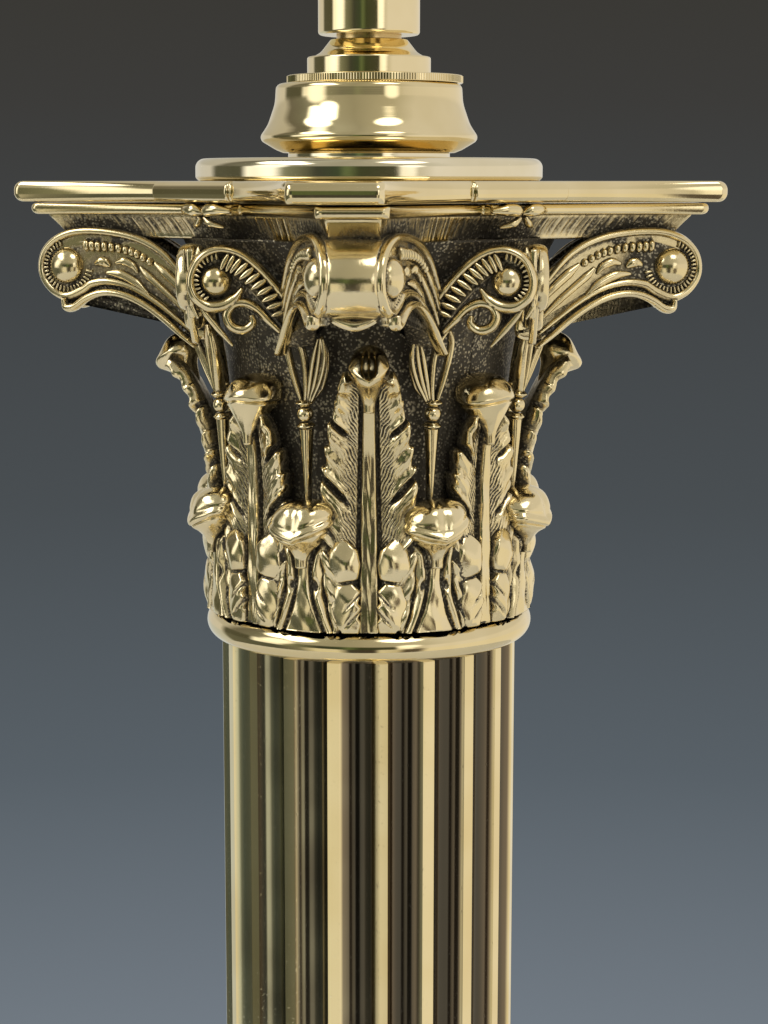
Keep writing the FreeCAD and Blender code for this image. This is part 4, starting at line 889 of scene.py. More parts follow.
def lower_relief(x, level, along, half, side):
    """The surface of a lower leaf, and its dark finish."""
    wider_below = 2.1 * np.clip((7.5 - along) / 7.5, 0, 1) ** 1.6
    rib_half = 0.85 + wider_below + 0.10 * np.clip(along - 9, 0, 7) ** 1.5
    rib = (0.95 - 0.25 * np.clip(x / rib_half, 0, 1) ** 2) * step_up(rib_half + 0.25 - x, 0.0, 0.45)
    furrow = ridge(x, rib_half + 0.34, 0.16)
    fold = 1.1 * ridge(x, rib_half + 1.1, 0.75) * step_up(13.5 - along, 0.0, 2.0)
    hole = ridge(x, rib_half + 1.0, 0.42) * ridge(along, 6.9, 0.9)
    gap = ridge(x, rib_half + 2.05 + 0.05 * along, 0.20) * step_up(12.5 - along, 0.0, 2.0)
    upper = 1.35 * np.clip(1 - ((x - 6.3) / 3.0) ** 2 - ((along - 10.6) / 3.7) ** 2, 0, 1) ** 0.7
    under = 1.25 * np.clip(1 - ((x - 6.9) / 2.9) ** 2 - ((along - 3.7) / 4.8) ** 2, 0, 1) ** 0.7
    between = ridge(upper - under, 0.0, 0.16) * step_up(np.minimum(upper, under), 0.05, 0.3)
    slant = along - 1.1 * (x - 7.0)
    on_lobe = step_up(x, 6.0, 7.2) * step_up(under - upper, 0.2, 0.5)
    scallop = (ridge(slant, 1.6, 0.24) + ridge(slant, 4.2, 0.24)) * on_lobe
    dents = 0.08 * np.sin(1.3 * along + 1.1 * x * side) + 0.06 * np.sin(0.8 * along - 1.9 * x)
    height = rib - 0.55 * furrow + fold - 1.2 * hole - 0.45 * gap + np.maximum(upper, under)
    height += -0.40 * scallop - 0.6 * between + dents - 0.2
    stain = 0.9 * furrow + hole + 0.7 * gap + 0.45 * scallop + 0.8 * between
    return height, stain


lower_leaves = Ornament("lower_leaves", 8, 22.5 + LEAF_TURN)
lower_leaves.add(*leaf_blade(LOWER_SPINE, 0.0, LOWER_EDGE, lower_relief, (3.2, 2.6), step=0.2, columns=81))
lower_leaves.add(*curled_tip(26.0, capital_foot + 16.3, 4.9, 3.9, [
    (0.18, -6.6), (0.20, -5.2), (0.34, -4.1), (0.56, -3.1), (0.76, -2.1), (0.86, -1.35), (0.84, -1.1),
    (0.93, -0.85), (1.01, -0.4), (1.01, 0.1), (0.96, 0.6), (0.97, 1.2), (0.88, 2.1), (0.68, 2.9),
    (0.38, 3.4), (0.02, 3.5)], 0.22, 1.7, (0.30, 0.16), 26.3, 0.5))
ORNAMENTS.append(lower_leaves)


# Stems: eight slender stalks between the upper leaves. A ringed bead divides each from a cup, from which a
# hollow lance leans to the side's middle and a ribbed leaf to the corner.


def bar(path, widths, depths, count=40, sides=14, outward=(1, 0, 0)):
    """Rings of a rounded bar along a smooth line. Widths are across it and depths towards the front."""
    line = smooth_line(path, count)
    places = np.linspace(0, 1, count)
    width = np.interp(places, np.linspace(0, 1, len(widths)), widths)
    depth = np.interp(places, np.linspace(0, 1, len(depths)), depths)
    ahead = np.gradient(line, axis=0)
    ahead /= np.linalg.norm(ahead, axis=1)[:, None]
    across = np.cross(ahead, np.array(outward, float))
    across /= np.linalg.norm(across, axis=1)[:, None]
    front = np.cross(across, ahead)
    angles = np.linspace(0, 2 * math.pi, sides, endpoint=False)
    ring = np.cos(angles)[None, :, None] * across[:, None, :] * width[:, None, None]
    ring = ring + np.sin(angles)[None, :, None] * front[:, None, :] * depth[:, None, None]
    return line[:, None, :] + ring


def ball(centre, radius, squash=1.0, count=20, sides=28):
    """Rings of a ball, flattened along X by squash."""
    rings = []
    angles = np.linspace(0, 2 * math.pi, sides, endpoint=False)
    for up in np.linspace(-0.985, 0.985, count):
        lift = math.sin(up * math.pi / 2)
        flat = math.sqrt(max(1e-4, 1 - lift**2))
        x, y = np.cos(angles) * flat * squash, np.sin(angles) * flat
        rings.append(np.stack([x, y, np.full(sides, lift)], 1) * radius + np.array(centre))
    return rings


stems = Ornament("stems", 4, LEAF_TURN)
z = capital_foot + 1.0
for side in (-1, 1):
    stand = Matrix.Rotation(side * math.radians(22.5), 4, "Z")
    stems.add(bar([(23.0, 0, z + 14), (23.5, 0, z + 20), (23.9, 0, z + 26), (24.1, 0, z + 29.4)],
                  [0.15, 0.5, 0.85, 1.1], [0.6, 0.9, 1.1, 1.2]), move=stand)
    stems.add(bar([(24.1, 0, z + 29.1), (24.2, 0, z + 30.2)], [0.9, 1.45, 0.9], [1.1, 1.6, 1.1], 9),
              move=stand)
    stems.add(ball((24.5, 0, z + 31.4), 1.25), move=stand)
    stems.add(bar([(24.5, 0, z + 32.6), (24.6, 0, z + 33.6)], [0.9, 1.45, 0.9], [1.1, 1.6, 1.1], 9),
              move=stand)
    for border in (-1, 1):
        lance = [(24.6, border * 0.3, z + 33.2), (25.2, -side * 0.2 + border * 0.85, z + 36.0),
                 (25.9, -side * 0.6 + border * 1.2, z + 39.6),
                 (26.5, -side * 1.0 + border * 0.95, z + 42.2),
                 (26.8, -side * 1.3 + border * 0.1, z + 43.8)]
        stems.add(bar(lance, [0.35, 0.45, 0.5, 0.5, 0.4], [0.9, 0.9, 0.8, 0.7, 0.5]), move=stand)
    leaf_path = np.array([(24.5, side * 0.9, z + 33.2), (25.2, side * 2.3, z + 36.6),
                          (26.2, side * 3.4, z + 40.2), (27.4, side * 3.9, z + 43.0)])
    stems.add(bar(leaf_path, [0.4, 1.4, 1.5, 1.1, 0.15], [0.5]), move=stand)
    for number in (-1.0, -0.1, 0.8):
        fan = np.array([(0.3, 0.3, 0), (0.5, 0.9, 0.1), (0.5, 1.0, 0.3), (0.2, 0.4, 0.2)])
        fan = fan * (1, number, -abs(number))
        stems.add(bar(leaf_path + fan, [0.25, 0.35, 0.35, 0.12], [0.4, 0.5, 0.5, 0.2], 30, 10), move=stand)
ORNAMENTS.append(stems)


# Volutes: at each corner two scrolls lean together with a broad rolled band between them. Each has a milled
# rim that closes round a ball, a row of beads on its arm, and a curved leaf with fine ribs under it.

EYE = EYE_LEVEL / MM
"""The top of the plate over the capital, in mm. The volutes and scrolls are measured down from it."""


def band_half(out):
    """Half the width of the rolled band, which is also where the scrolls' faces are, at a distance out."""
    return 4.0 + (51.1 - out) * 0.30


def on_volute(side, points, lift=0.0):
    """Points (distance out, depth under the abacus, height off its face) of the scroll on one side."""
    points = np.array([(*p, 0.0)[:3] for p in points], float)
    across = band_half(points[:, 0]) + points[:, 2] + lift
    return np.stack([points[:, 0], side * across, EYE - points[:, 1]], 1)


def inset(outline, amount):
    """A closed outline moved inwards by an amount, as the normals between its points say."""
    outline = np.asarray(outline, float)
    ahead = np.roll(outline, -1, 0) - np.roll(outline, 1, 0)
    normal = np.stack([-ahead[:, 1], ahead[:, 0]], 1) / np.linalg.norm(ahead, axis=1)[:, None]
    area = np.sum(outline[:, 0] * np.roll(outline[:, 1], -1) - np.roll(outline[:, 0], -1) * outline[:, 1])
    return outline + normal * amount * (1 if area > 0 else -1)


def closed_line(points, count):
    """A smooth closed outline through a few points."""
    points = np.asarray(points, float)
    line = smooth_line(np.concatenate([points[-2:], points, points[:2]]), (len(points) + 3) * count)
    return line[count:-2 * count]


VOLUTE_BODY = [
    (24.0, 17.0), (29.5, 11.5), (34.0, 8.6), (39.4, 7.7), (44.6, 7.6), (48.0, 8.7), (50.0, 10.5),
    (50.7, 12.8), (50.3, 15.0), (48.6, 17.0), (46.8, 18.2), (46.4, 19.3), (45.2, 19.3), (43.6, 18.2),
    (41.6, 17.2), (39.4, 16.6), (36.8, 16.9), (33.7, 18.2), (30.6, 20.2), (28.0, 22.2), (25.8, 23.8),
    (22.5, 22.8)]
VOLUTE_RIM = [
    (26.6, 15.6), (30.4, 11.2), (34.6, 8.8), (39.4, 7.75), (44.4, 7.65), (47.8, 8.7), (49.9, 10.6),
    (50.6, 13.0), (50.1, 15.1), (48.5, 16.9), (46.4, 17.6), (44.0, 16.7), (42.2, 15.6), (39.2, 15.3),
    (35.6, 16.2), (31.8, 18.4), (28.6, 20.8), (26.0, 22.8)]
UNDER_EDGE = [
    (46.9, 17.9), (46.6, 19.2), (45.3, 19.2), (43.5, 18.0), (41.4, 17.1), (39.2, 16.9), (36.6, 17.4),
    (33.6, 18.8), (30.7, 20.8), (28.2, 22.9), (25.8, 24.8)]
VOLUTE_EYE = (46.4, 12.9)
volutes = Ornament("volutes", 4, 45.0)


def volute_bar(side, points, lift, widths, depths, count, sides=10):
    """A bar that lies on the face of one scroll."""
    outward = (0.287, side * 0.958, 0)
    volutes.add(bar(on_volute(side, points, lift), widths, depths, count, sides, outward))


body_line = closed_line(VOLUTE_BODY, 6)
for side in (-1, 1):
    layers = [(1.6, -2.4), (0.4, -2.3), (0.05, -1.9), (0.0, -0.9), (0.15, -0.55), (0.7, -0.5), (1.6, -0.5)]
    slab = []
    for by, off in layers:
        thicker = 0.13 if off < -1 else 0.0
        loop = [(x, h, off - thicker * max(0.0, 46.0 - x)) for x, h in inset(body_line, by)]
        slab.append(on_volute(side, loop))
    volutes.add(slab, [np.full(len(body_line), 1.0 if off < -1 else -0.15) for by, off in layers])
    rim_widths = [0.4, 0.6, 0.65, 0.62, 0.6, 0.6, 0.65, 0.9, 0.75, 0.6, 0.5, 0.35]
    volute_bar(side, VOLUTE_RIM, -0.55, rim_widths, [0.85], 130, 12)
    volute_bar(side, UNDER_EDGE, 0.15, [0.4, 0.7, 0.65, 0.6, 0.6, 0.55, 0.5, 0.35], [0.95], 70, 12)
    eye = on_volute(side, [VOLUTE_EYE], -0.75)[0]
    turn_ball = Matrix.Translation(eye) @ Matrix.Rotation(side * math.radians(73), 4, "Z")
    volutes.add(ball((0, 0, 0), 2.85, 0.8), move=turn_ball)
    for number in range(26):
        turn = math.radians(-72 + number * 9.6)
        spoke = [(VOLUTE_EYE[0] + r * math.cos(turn), VOLUTE_EYE[1] + r * math.sin(turn))
                 for r in (3.1, 4.25)]
        volute_bar(side, spoke, -0.42, [0.18, 0.25, 0.18], [0.42], 5, 8)
    bead_row = smooth_line([(43.2, 9.75), (41.3, 9.9), (39.1, 10.0), (36.8, 10.45), (35.0, 11.1),
                            (33.0, 12.2)], 11)
    for number, (x, h) in enumerate(bead_row):
        tall = 0.95 - 0.035 * number
        slope = 0.12 + 0.03 * number
        ends = [(x + slope * 0.5, h - tall), (x - slope * 0.5, h + tall)]
        volute_bar(side, ends, -0.30, [0.25, 0.52, 0.56, 0.5, 0.2], [0.2, 0.7, 0.75, 0.7, 0.2], 9)
    for line, widths in (
            ([(41.9, 12.6), (40.6, 12.2), (39.4, 12.9)], [0.25, 0.75, 0.8, 0.3]),
            ([(38.6, 12.4), (37.2, 12.1), (35.7, 12.8), (34.9, 13.9)], [0.25, 0.7, 0.6, 0.2]),
            ([(40.2, 13.9), (37.8, 14.1), (35.2, 15.4), (33.0, 17.4)], [0.2, 0.75, 0.7, 0.2]),
            ([(34.6, 12.9), (33.4, 14.2), (31.4, 15.9), (29.0, 18.0), (26.4, 20.6)],
             [0.2, 0.6, 0.55, 0.5, 0.3]),
            ([(32.3, 12.3), (30.6, 13.8), (28.4, 15.8), (26.0, 18.4)], [0.2, 0.75, 0.7, 0.4])):
        volute_bar(side, line, -0.25, widths, [0.2, 0.6, 0.6, 0.3], 24)
    for number in range(22):
        place = int(2 + 55 * number / 21)
        upper = smooth_line(VOLUTE_RIM[11:], 60)[place]
        lower = smooth_line(UNDER_EDGE[3:], 60)[place]
        ends = [upper * 0.8 + lower * 0.2, upper * 0.2 + lower * 0.8]
        volute_bar(side, ends, -0.5, [0.10, 0.16, 0.10], [0.22], 4, 6)
band_line = smooth_line([
    (36.0, 9.0), (40.0, 7.6), (44.6, 7.35), (48.1, 8.4), (50.2, 10.3), (51.1, 12.8), (50.7, 15.0),
    (49.2, 16.9), (47.2, 17.9), (45.0, 18.2), (43.0, 17.2)], 60)
band_loop = np.concatenate([band_line, (band_line + (44.5, 12.9))[::-1] / 2])
centre = np.array([45.5, 12.9])
band = []
for share in np.linspace(-1, 1, 25):
    swell = 0.42 * (1 - share**2) - 0.35 * max(0.0, abs(share) - 0.9) * 10
    loop = centre + (band_loop - centre) * (1 + swell / 5.4)
    half = band_half(loop[:, 0]) - 0.55
    band.append(np.stack([loop[:, 0], share * half, EYE - loop[:, 1]], 1))
volutes.add(band)
smile = [(45.2, -3.6, EYE - 17.6), (45.8, -2.4, EYE - 18.6), (46.1, 0, EYE - 19.3), (45.8, 2.4, EYE - 18.6),
         (45.2, 3.6, EYE - 17.6)]
volutes.add(bar(smile, [0.5, 0.7, 0.85, 0.7, 0.5], [0.7], 40, 12))
cup = [(45.4, -3.3, EYE - 17.4), (45.5, 0, EYE - 17.7), (45.4, 3.3, EYE - 17.4)]
volutes.add(bar(cup, [0.3, 1.3, 1.8, 1.3, 0.3], [0.5], 30, 12))
ORNAMENTS.append(volutes)


# Inner scrolls: two small ones meet on the middle of each side, under a bud, each with a milled band, a
# ball and a hooked tendril.

inner_scrolls = Ornament("inner_scrolls", 4, 0.0)


def on_scroll(side, points, lift=0.0):
    """Points (towards the side's middle, down, off its face) from the ball of one of a side's scrolls."""
    points = np.array([(*p, 0.0)[:3] for p in points], float)
    along = np.array([0.743, -side * 0.669])
    out = np.array([0.669, side * 0.743])
    flat = np.array([32.9, side * 3.05]) + points[:, :1] * along + (points[:, 2:] + lift) * out
    return np.column_stack([flat, EYE - 14.3 - points[:, 1]])


def scroll_bar(side, points, lift, widths, depths, count, sides=12):
    """A bar that lies on the face of one inner scroll."""
    outward = (0.669, side * 0.743, 0)
    inner_scrolls.add(bar(on_scroll(side, points, lift), widths, depths, count, sides, outward))


SCROLL_BAND = [
    (-11.6, 4.6), (-9.4, 1.6), (-6.4, -1.8), (-3.4, -4.0), (-0.4, -4.55), (2.2, -3.3), (3.5, -0.6),
    (3.1, 1.9), (1.2, 3.5), (-1.0, 3.5), (-2.8, 2.5), (-3.9, 1.0)]
for side in (-1, 1):
    band_widths = [0.6, 0.7, 0.68, 0.68, 0.7, 0.75, 0.85, 1.0, 1.05, 0.4]
    scroll_bar(side, SCROLL_BAND, -0.2, band_widths, [1.7], 110, 14)
    arm_floor = [(-11.0, 6.8), (-8.4, 3.6), (-5.6, 0.4), (-3.2, -1.6), (-0.6, -2.6)]
    scroll_bar(side, arm_floor, -1.2, [1.2, 1.2, 1.3, 1.2, 1.0], [0.9], 40)
    scroll_bar(side, [(-0.6, -3.4), (1.4, -1.6), (1.2, 1.6), (-1.4, 1.6)], -1.3, [1.3], [1.0], 30)
    ball_centre = on_scroll(side, [(0, 0)], -0.3)[0]
    turn_ball = Matrix.Translation(ball_centre) @ Matrix.Rotation(side * math.radians(48), 4, "Z")
    inner_scrolls.add(ball((0, 0, 0), 2.4, 0.85), move=turn_ball)
    arm_line = smooth_line([(-9.4, 4.6), (-7.4, 1.6), (-5.0, -0.8), (-2.8, -2.4), (-0.6, -3.0)], 12)
    rim_line = smooth_line([(-0.2, -3.6), (1.8, -2.7), (2.8, -0.5), (2.4, 1.5), (0.8, 2.9)], 14)
    for line, half, thick, lift in ((arm_line, 1.35, 0.56, 0.5), (rim_line, 0.5, 0.22, 0.85)):
        for (a, h), (b, g) in zip(line[:-1], line[1:]):
            step = np.array([b - a, g - h])
            normal = np.array([-step[1], step[0]]) / np.linalg.norm(step)
            lean = step / np.linalg.norm(step) * half * 0.25
            spoke = [np.array([a, h]) - normal * half - lean, np.array([a, h]) + normal * half + lean]
            spoke_widths = [thick * 0.4, thick, thick, thick * 0.4]
            scroll_bar(side, spoke, lift, spoke_widths, [thick * 1.3], 8, 10)
    hook = [(-9.4, 7.4), (-7.6, 5.6), (-5.9, 3.9), (-4.2, 3.1), (-2.5, 3.4), (-1.6, 4.9), (-2.3, 6.5),
            (-4.0, 7.0), (-5.3, 6.1), (-5.2, 4.9)]
    scroll_bar(side, hook, 0.1, [0.4, 0.6, 0.7, 0.75, 0.75, 0.75, 0.75, 0.7, 0.4], [1.1], 80)
    spray = [(2.9, 2.8), (1.4, 4.8), (-0.4, 7.0), (-2.4, 9.4)]
    scroll_bar(side, spray, -0.4, [0.15, 0.5, 0.5, 0.2], [0.6], 24, 10)
    leaf_tip = [(4.6, -4.6), (4.5, -2.0), (4.2, 0.6), (3.6, 3.4), (2.6, 5.4)]
    scroll_bar(side, leaf_tip, -0.9, [0.08, 0.4, 0.55, 0.5, 0.2], [0.5], 30, 10)
bud_line = [(0.1, 9.4), (0.6, 10.6), (1.1, 12.4), (1.0, 14.6), (0.5, 16.6), (0.1, 18.0)]
bud_angles = np.linspace(0, 2 * math.pi, 18, False)
inner_scrolls.add([[(33.6 + r * math.cos(a), r * math.sin(a), EYE - h) for a in bud_angles]
                   for r, h in smooth_line(bud_line, 24)])
ORNAMENTS.append(inner_scrolls)


# Abacus of the casting: a hollow moulding scored with upright lines under a smooth cornice, both with
# concave sides and cut corners. A bud of two leaves sits on the middle of each side.


def concave_square(corner, chamfer_half, side_middle, round_off, tab=None):
    """The outline of a square with concave sides and cut corners. A tab is (reach, half width)."""
    steps, slant = 40, 0.7071
    diagonal, cut = np.array([slant, -slant]), np.array([slant, slant])
    end_x, end_y = corner * diagonal + chamfer_half * cut
    sagitta = end_x - side_middle
    radius = (end_y**2 + sagitta**2) / (2 * sagitta)
    sweep = math.asin(-end_y / radius)
    arc = [(side_middle + radius - radius * math.cos(a), radius * math.sin(a))
           for a in np.linspace(-sweep, sweep, steps)]
    points = [(*arc[0], round_off)] + [(x, y, 0) for x, y in arc[1:-1]] + [(*arc[-1], round_off)]
    if tab:
        reach, half = tab
        left = [p for p in points if p[1] < -half - 0.6]
        right = [p for p in points if p[1] > half + 0.6]
        root = side_middle + radius - math.sqrt(radius**2 - half**2)
        points = left + [(root, -half, 0.5), (reach, -half, 1.1), (reach, half, 1.1),
                         (root, half, 0.5)] + right
    loop = []
    for quarter_turn in range(4):
        cosine, sine = math.cos(quarter_turn * math.pi / 2), math.sin(quarter_turn * math.pi / 2)
        for x, y, soft in points:
            loop.append((x * cosine - y * sine, x * sine + y * cosine, soft))
    return rounded(loop)


def dense(outline, step):
    """A closed outline with more points, evenly spaced."""
    closed = np.concatenate([outline, outline[:1]])
    lengths = np.concatenate([[0.0], np.cumsum(np.linalg.norm(np.diff(closed, axis=0), axis=1))])
    places = np.linspace(0, lengths[-1], int(lengths[-1] / step), endpoint=False)
    return np.stack([np.interp(places, lengths, closed[:, i]) for i in (0, 1)], 1), places


def plate_rings(outline, profile):
    """Rings of a plate: an outline at each (height, inset) of a profile. The inset is towards the axis."""
    reach = np.linalg.norm(outline, axis=1)[:, None]
    return [np.column_stack([outline * (1 - by / reach), np.full(len(outline), z)]) for z, by in profile]


abacus_layers = Ornament("abacus_layers", 1, 0.0)
fascia_line, places = dense(concave_square(49.6, 3.7, 28.6, 0.5), 0.22)
fascia_bearing = np.degrees(np.arctan2(fascia_line[:, 1], fascia_line[:, 0]))
corner_share = step_up(np.abs(fascia_bearing % 90 - 45), 4.2, 7.0)
random_places = np.random.default_rng(5)
scored = np.zeros(len(fascia_line))
for pitch in (0.55, 0.83, 1.21, 1.9):
    drift = random_places.normal(0, 0.9, len(places)).cumsum() * 0.15
    scored += np.clip(np.sin(places / pitch * 2 * math.pi + drift), -0.6, 1)
scored = scored / 4 * corner_share
fascia_rings, fascia_hollows = [], []
FASCIA_PROFILE = [
    (-8.6, 8.0, 0), (-8.6, 3.4, 0), (-8.45, 3.05, 0), (-8.2, 2.95, 0.3), (-7.6, 2.55, 0.8),
    (-6.9, 1.95, 1.0), (-6.2, 1.25, 1.0), (-5.6, 0.6, 0.9), (-5.2, 0.2, 0.4), (-4.6, 0.1, 0),
    (-4.6, 4.0, 0)]
"""The hollow moulding's section: height under the plate's top, inset, and how deeply it is scored."""
reach = np.linalg.norm(fascia_line, axis=1)[:, None]
for z, by, score in FASCIA_PROFILE:
    ring = fascia_line * (1 - (by * (1 - 0.25 * corner_share) + 0.22 * score * scored)[:, None] / reach)
    fascia_rings.append(np.column_stack([ring, np.full(len(ring), EYE + z)]))
    fascia_hollows.append(0.55 * score * corner_share + 0.5 * score * scored)
abacus_layers.add(fascia_rings, np.array(fascia_hollows))
cornice_line = concave_square(52.0, 4.8, 30.0, 1.1, (32.6, 5.4))
abacus_layers.add(plate_rings(cornice_line, [
    (EYE - 5.0, 1.3), (EYE - 5.0, 1.0), (EYE - 4.93, 0.6), (EYE - 4.72, 0.25), (EYE - 4.4, 0.05),
    (EYE - 4.1, 0.0), (EYE - 3.75, 0.06), (EYE - 3.5, 0.25), (EYE - 3.35, 0.6), (EYE - 3.3, 1.0),
    (EYE - 3.3, 1.3)]))
for turn in range(4):
    placed = Matrix.Rotation(turn * math.pi / 2, 4, "Z")
    for side in (-1, 1):
        lobe = [(32.2, side * 0.35, EYE - 4.6), (33.0, side * 1.6, EYE - 4.2),
                (32.9, side * 3.4, EYE - 4.1), (32.0, side * 5.6, EYE - 4.3)]
        abacus_layers.add(bar(lobe, [0.5, 0.95, 0.9, 0.35], [0.6, 1.0, 0.9, 0.4], 26, 14), move=placed)
        drop = [(32.6, side * 0.5, EYE - 5.2), (32.4, side * 1.6, EYE - 6.1), (31.2, side * 3.2, EYE - 6.6)]
        abacus_layers.add(bar(drop, [0.3, 0.6, 0.2], [0.6], 18, 12), move=placed)
ORNAMENTS.append(abacus_layers)


# Where the dark finish is left: in the grooves of each ornament, and wherever its neighbours shade it,
# which is found by rays to all of them.


def unit_mesh(ornament):
    """One copy's closed mesh, with its hollows."""
    mesh = bpy.data.meshes.new(ornament.name)
    mesh.from_pydata([tuple(p * MM) for p in np.concatenate(ornament.points)], [], ornament.faces)
    hollow = np.concatenate(ornament.hollows).astype(np.float32)
    mesh.attributes.new("patina", "FLOAT", "POINT").data.foreach_set("value", hollow)
    work = bmesh.new()
    work.from_mesh(mesh)
    bmesh.ops.remove_doubles(work, verts=work.verts, dist=0.002 * MM)
    bmesh.ops.recalc_face_normals(work, faces=work.faces)
    work.to_mesh(mesh)
    work.free()
    mesh.shade_smooth()
    return mesh


def vertex_array(mesh, what):
    values = np.zeros(len(mesh.vertices) * 3)
    mesh.vertices.foreach_get(what, values)
    return values.reshape(-1, 3)


def turn_matrix(degrees):
    a = math.radians(degrees)
    return np.array([[math.cos(a), math.sin(a), 0], [-math.sin(a), math.cos(a), 0], [0, 0, 1]])


units = [unit_mesh(ornament) for ornament in ORNAMENTS]
all_points, all_faces = [], []
placed_count = 0
for ornament, mesh in zip(ORNAMENTS, units):
    points = vertex_array(mesh, "co")
    faces = [tuple(face.vertices) for face in mesh.polygons]
    for copy in range(ornament.count):
        all_points.append(points @ turn_matrix(ornament.first + copy * 360 / ornament.count))
        all_faces += [tuple(i + placed_count for i in face) for face in faces]
        placed_count += len(points)
casting_tree = BVHTree.FromPolygons(np.concatenate(all_points).tolist(), all_faces)
RAYS, REACH = 8, 6 * MM
golden = math.pi * (3 - math.sqrt(5))
spread = []
for i in range(RAYS):
    flat = math.sqrt((i + 0.5) / RAYS)
    spread.append((flat * math.cos(i * golden), flat * math.sin(i * golden), math.sqrt(1 - flat**2)))
for ornament, mesh in zip(ORNAMENTS, units):
    turn = turn_matrix(ornament.first)
    points = vertex_array(mesh, "co") @ turn
    normals = vertex_array(mesh, "normal") @ turn
    shade = np.zeros(len(points))
    for i, (point, normal) in enumerate(zip(points, normals)):
        point, normal = Vector(point), Vector(normal)
        basis = normal.to_track_quat("Z", "Y")
        start = point + normal * 0.05 * MM
        for direction in spread:
            hit = casting_tree.ray_cast(start, basis @ Vector(direction), REACH)[3]
            if hit is not None:
                shade[i] += (1 - hit / REACH) ** 0.5 / RAYS
    hollow = np.zeros(len(points), np.float32)
    layer = mesh.attributes["patina"].data
    layer.foreach_get("value", hollow)
    layer.foreach_set("value", np.clip(0.85 * shade + 0.6 * hollow, 0, 1).astype(np.float32))

round_axis = node_group("round_the_axis", {"Count": "Int", "First": "Float"})
ring = Tree(round_axis)
copies = ring.node("NodeGroupInput", output=2)
spots = ring.node("GeometryNodePoints", inputs={"Count": copies})
which = ring.node("GeometryNodeInputIndex")
spin = which / copies * (2 * math.pi) + ring.node("NodeGroupInput", output=3)
turned_by = ring.node("ShaderNodeCombineXYZ", inputs={2: spin})
unit = ring.node("NodeGroupInput", output=0)
instance_inputs = {"Points": spots, "Instance": unit, "Rotation": turned_by}
placed = ring.node("GeometryNodeInstanceOnPoints", inputs=instance_inputs)
real = ring.node("GeometryNodeRealizeInstances", inputs={"Geometry": placed})
finish = ring.node("NodeGroupInput", output=1)
done = ring.node("GeometryNodeSetMaterial", inputs={"Geometry": real, "Material": finish})
ring.node("NodeGroupOutput", inputs={0: done})

carved_brass = brass("carved_brass", rough=0.13, wave=0.04, grain=0.02, stipple=0.10)
for ornament, mesh in zip(ORNAMENTS, units):
    values = {"Count": ornament.count, "First": math.radians(ornament.first)}
    piece = nodes_to_mesh(ornament.name, round_axis, values, mesh, carved_brass, "lamp")
    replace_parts(piece, "capital_casting")


# --- Abacus plate: a cast and polished brass plate over the capital, with concave sides, a tab in the
# middle of each and corners cut flat. It sits turned by a few degrees.

plate_low, plate_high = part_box("abacus_plate")
low, high = plate_low.z / MM, plate_high.z / MM
plate_line = concave_square(54.6, 6.4, 33.0, 1.2, (34.4, 9.2))
angle = math.radians(-2.3)
turn = np.array([[math.cos(angle), math.sin(angle)], [-math.sin(angle), math.cos(angle)]])
plate_round = 1.35
edge_angles = np.radians(np.linspace(0, 90, 9))
lower_edge = [(low + plate_round * (1 - math.cos(a)), plate_round * (1 - math.sin(a))) for a in edge_angles]
plate_profile = lower_edge + [(high + low - z, by) for z, by in reversed(lower_edge)]
plate_points, plate_faces = skin(plate_rings(plate_line @ turn, plate_profile))
plate = mesh_object("concave_plate", plate_points, plate_faces, cast_brass)
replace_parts(plate, "abacus_plate")


# --- Round moulding, cap, ring and collar above the capital: turned and spun brass, polished bright.

moulding_low, moulding_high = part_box("round_moulding")
low, hub = moulding_low.z / MM, moulding_high.z / MM
# Painted brightening: the round plate is given a paler brass than the other turned pieces, standing in for
# the strong light that falls on it.
glare_pale_brass = brass("brass_paled_for_glare", tone=(0.88, 0.80, 0.60), wave=0.006, turning=0.0010)
turned_piece("round_plate", [
    (6.0, low, 0.2), (26.3, low, 0.5), (26.8, low + 0.5, 0.5), (26.8, low + 3.4, 1.5),
    (24.0, low + 3.4, 0.4), (12.5, low + 3.4, 0.3), (12.5, hub, 0.2), (6.0, hub, 0.2)], glare_pale_brass,
    "round_moulding")
cap_low, cap_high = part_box("spun_cap")
foot, top = cap_low.z / MM, cap_high.z / MM
turned_piece("bell_cap", [
    (6.2, top, 0.2), (14.3, top, 0.9), (14.5, top - 3.0, 6.0), (15.6, top - 6.2, 5.0),
    (17.1, top - 8.4, 0.9), (14.4, top - 10.0, 1.2), (13.3, foot, 0.3), (11.2, foot, 0.2),
    (11.2, foot + 1.2, 0.3), (15.2, foot + 2.2, 0.4), (13.2, top - 4.0, 3.0), (13.0, top - 1.4, 0.4),
    (6.2, top - 1.4, 0.2)], turned_brass, "spun_cap")
collar_low, collar_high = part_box("stepped_collar")
foot, top = collar_low.z / MM, collar_high.z / MM
turned_piece("lock_collar", [
    (5.1, foot, 0.2), (9.5, foot, 0.25), (9.5, foot + 2.8, 0.3), (8.6, foot + 2.8, 0.2),
    (7.4, foot + 3.5, 2.0), (5.9, top, 0.3), (5.1, top, 0.1)], turned_brass, "stepped_collar")


# --- Milled ring: turned brass with straight knurling all round its edge, which the hand turns. It is loose
# on the tube, hangs a little to one side and has a hair of room over and under it. Nodes place its teeth.

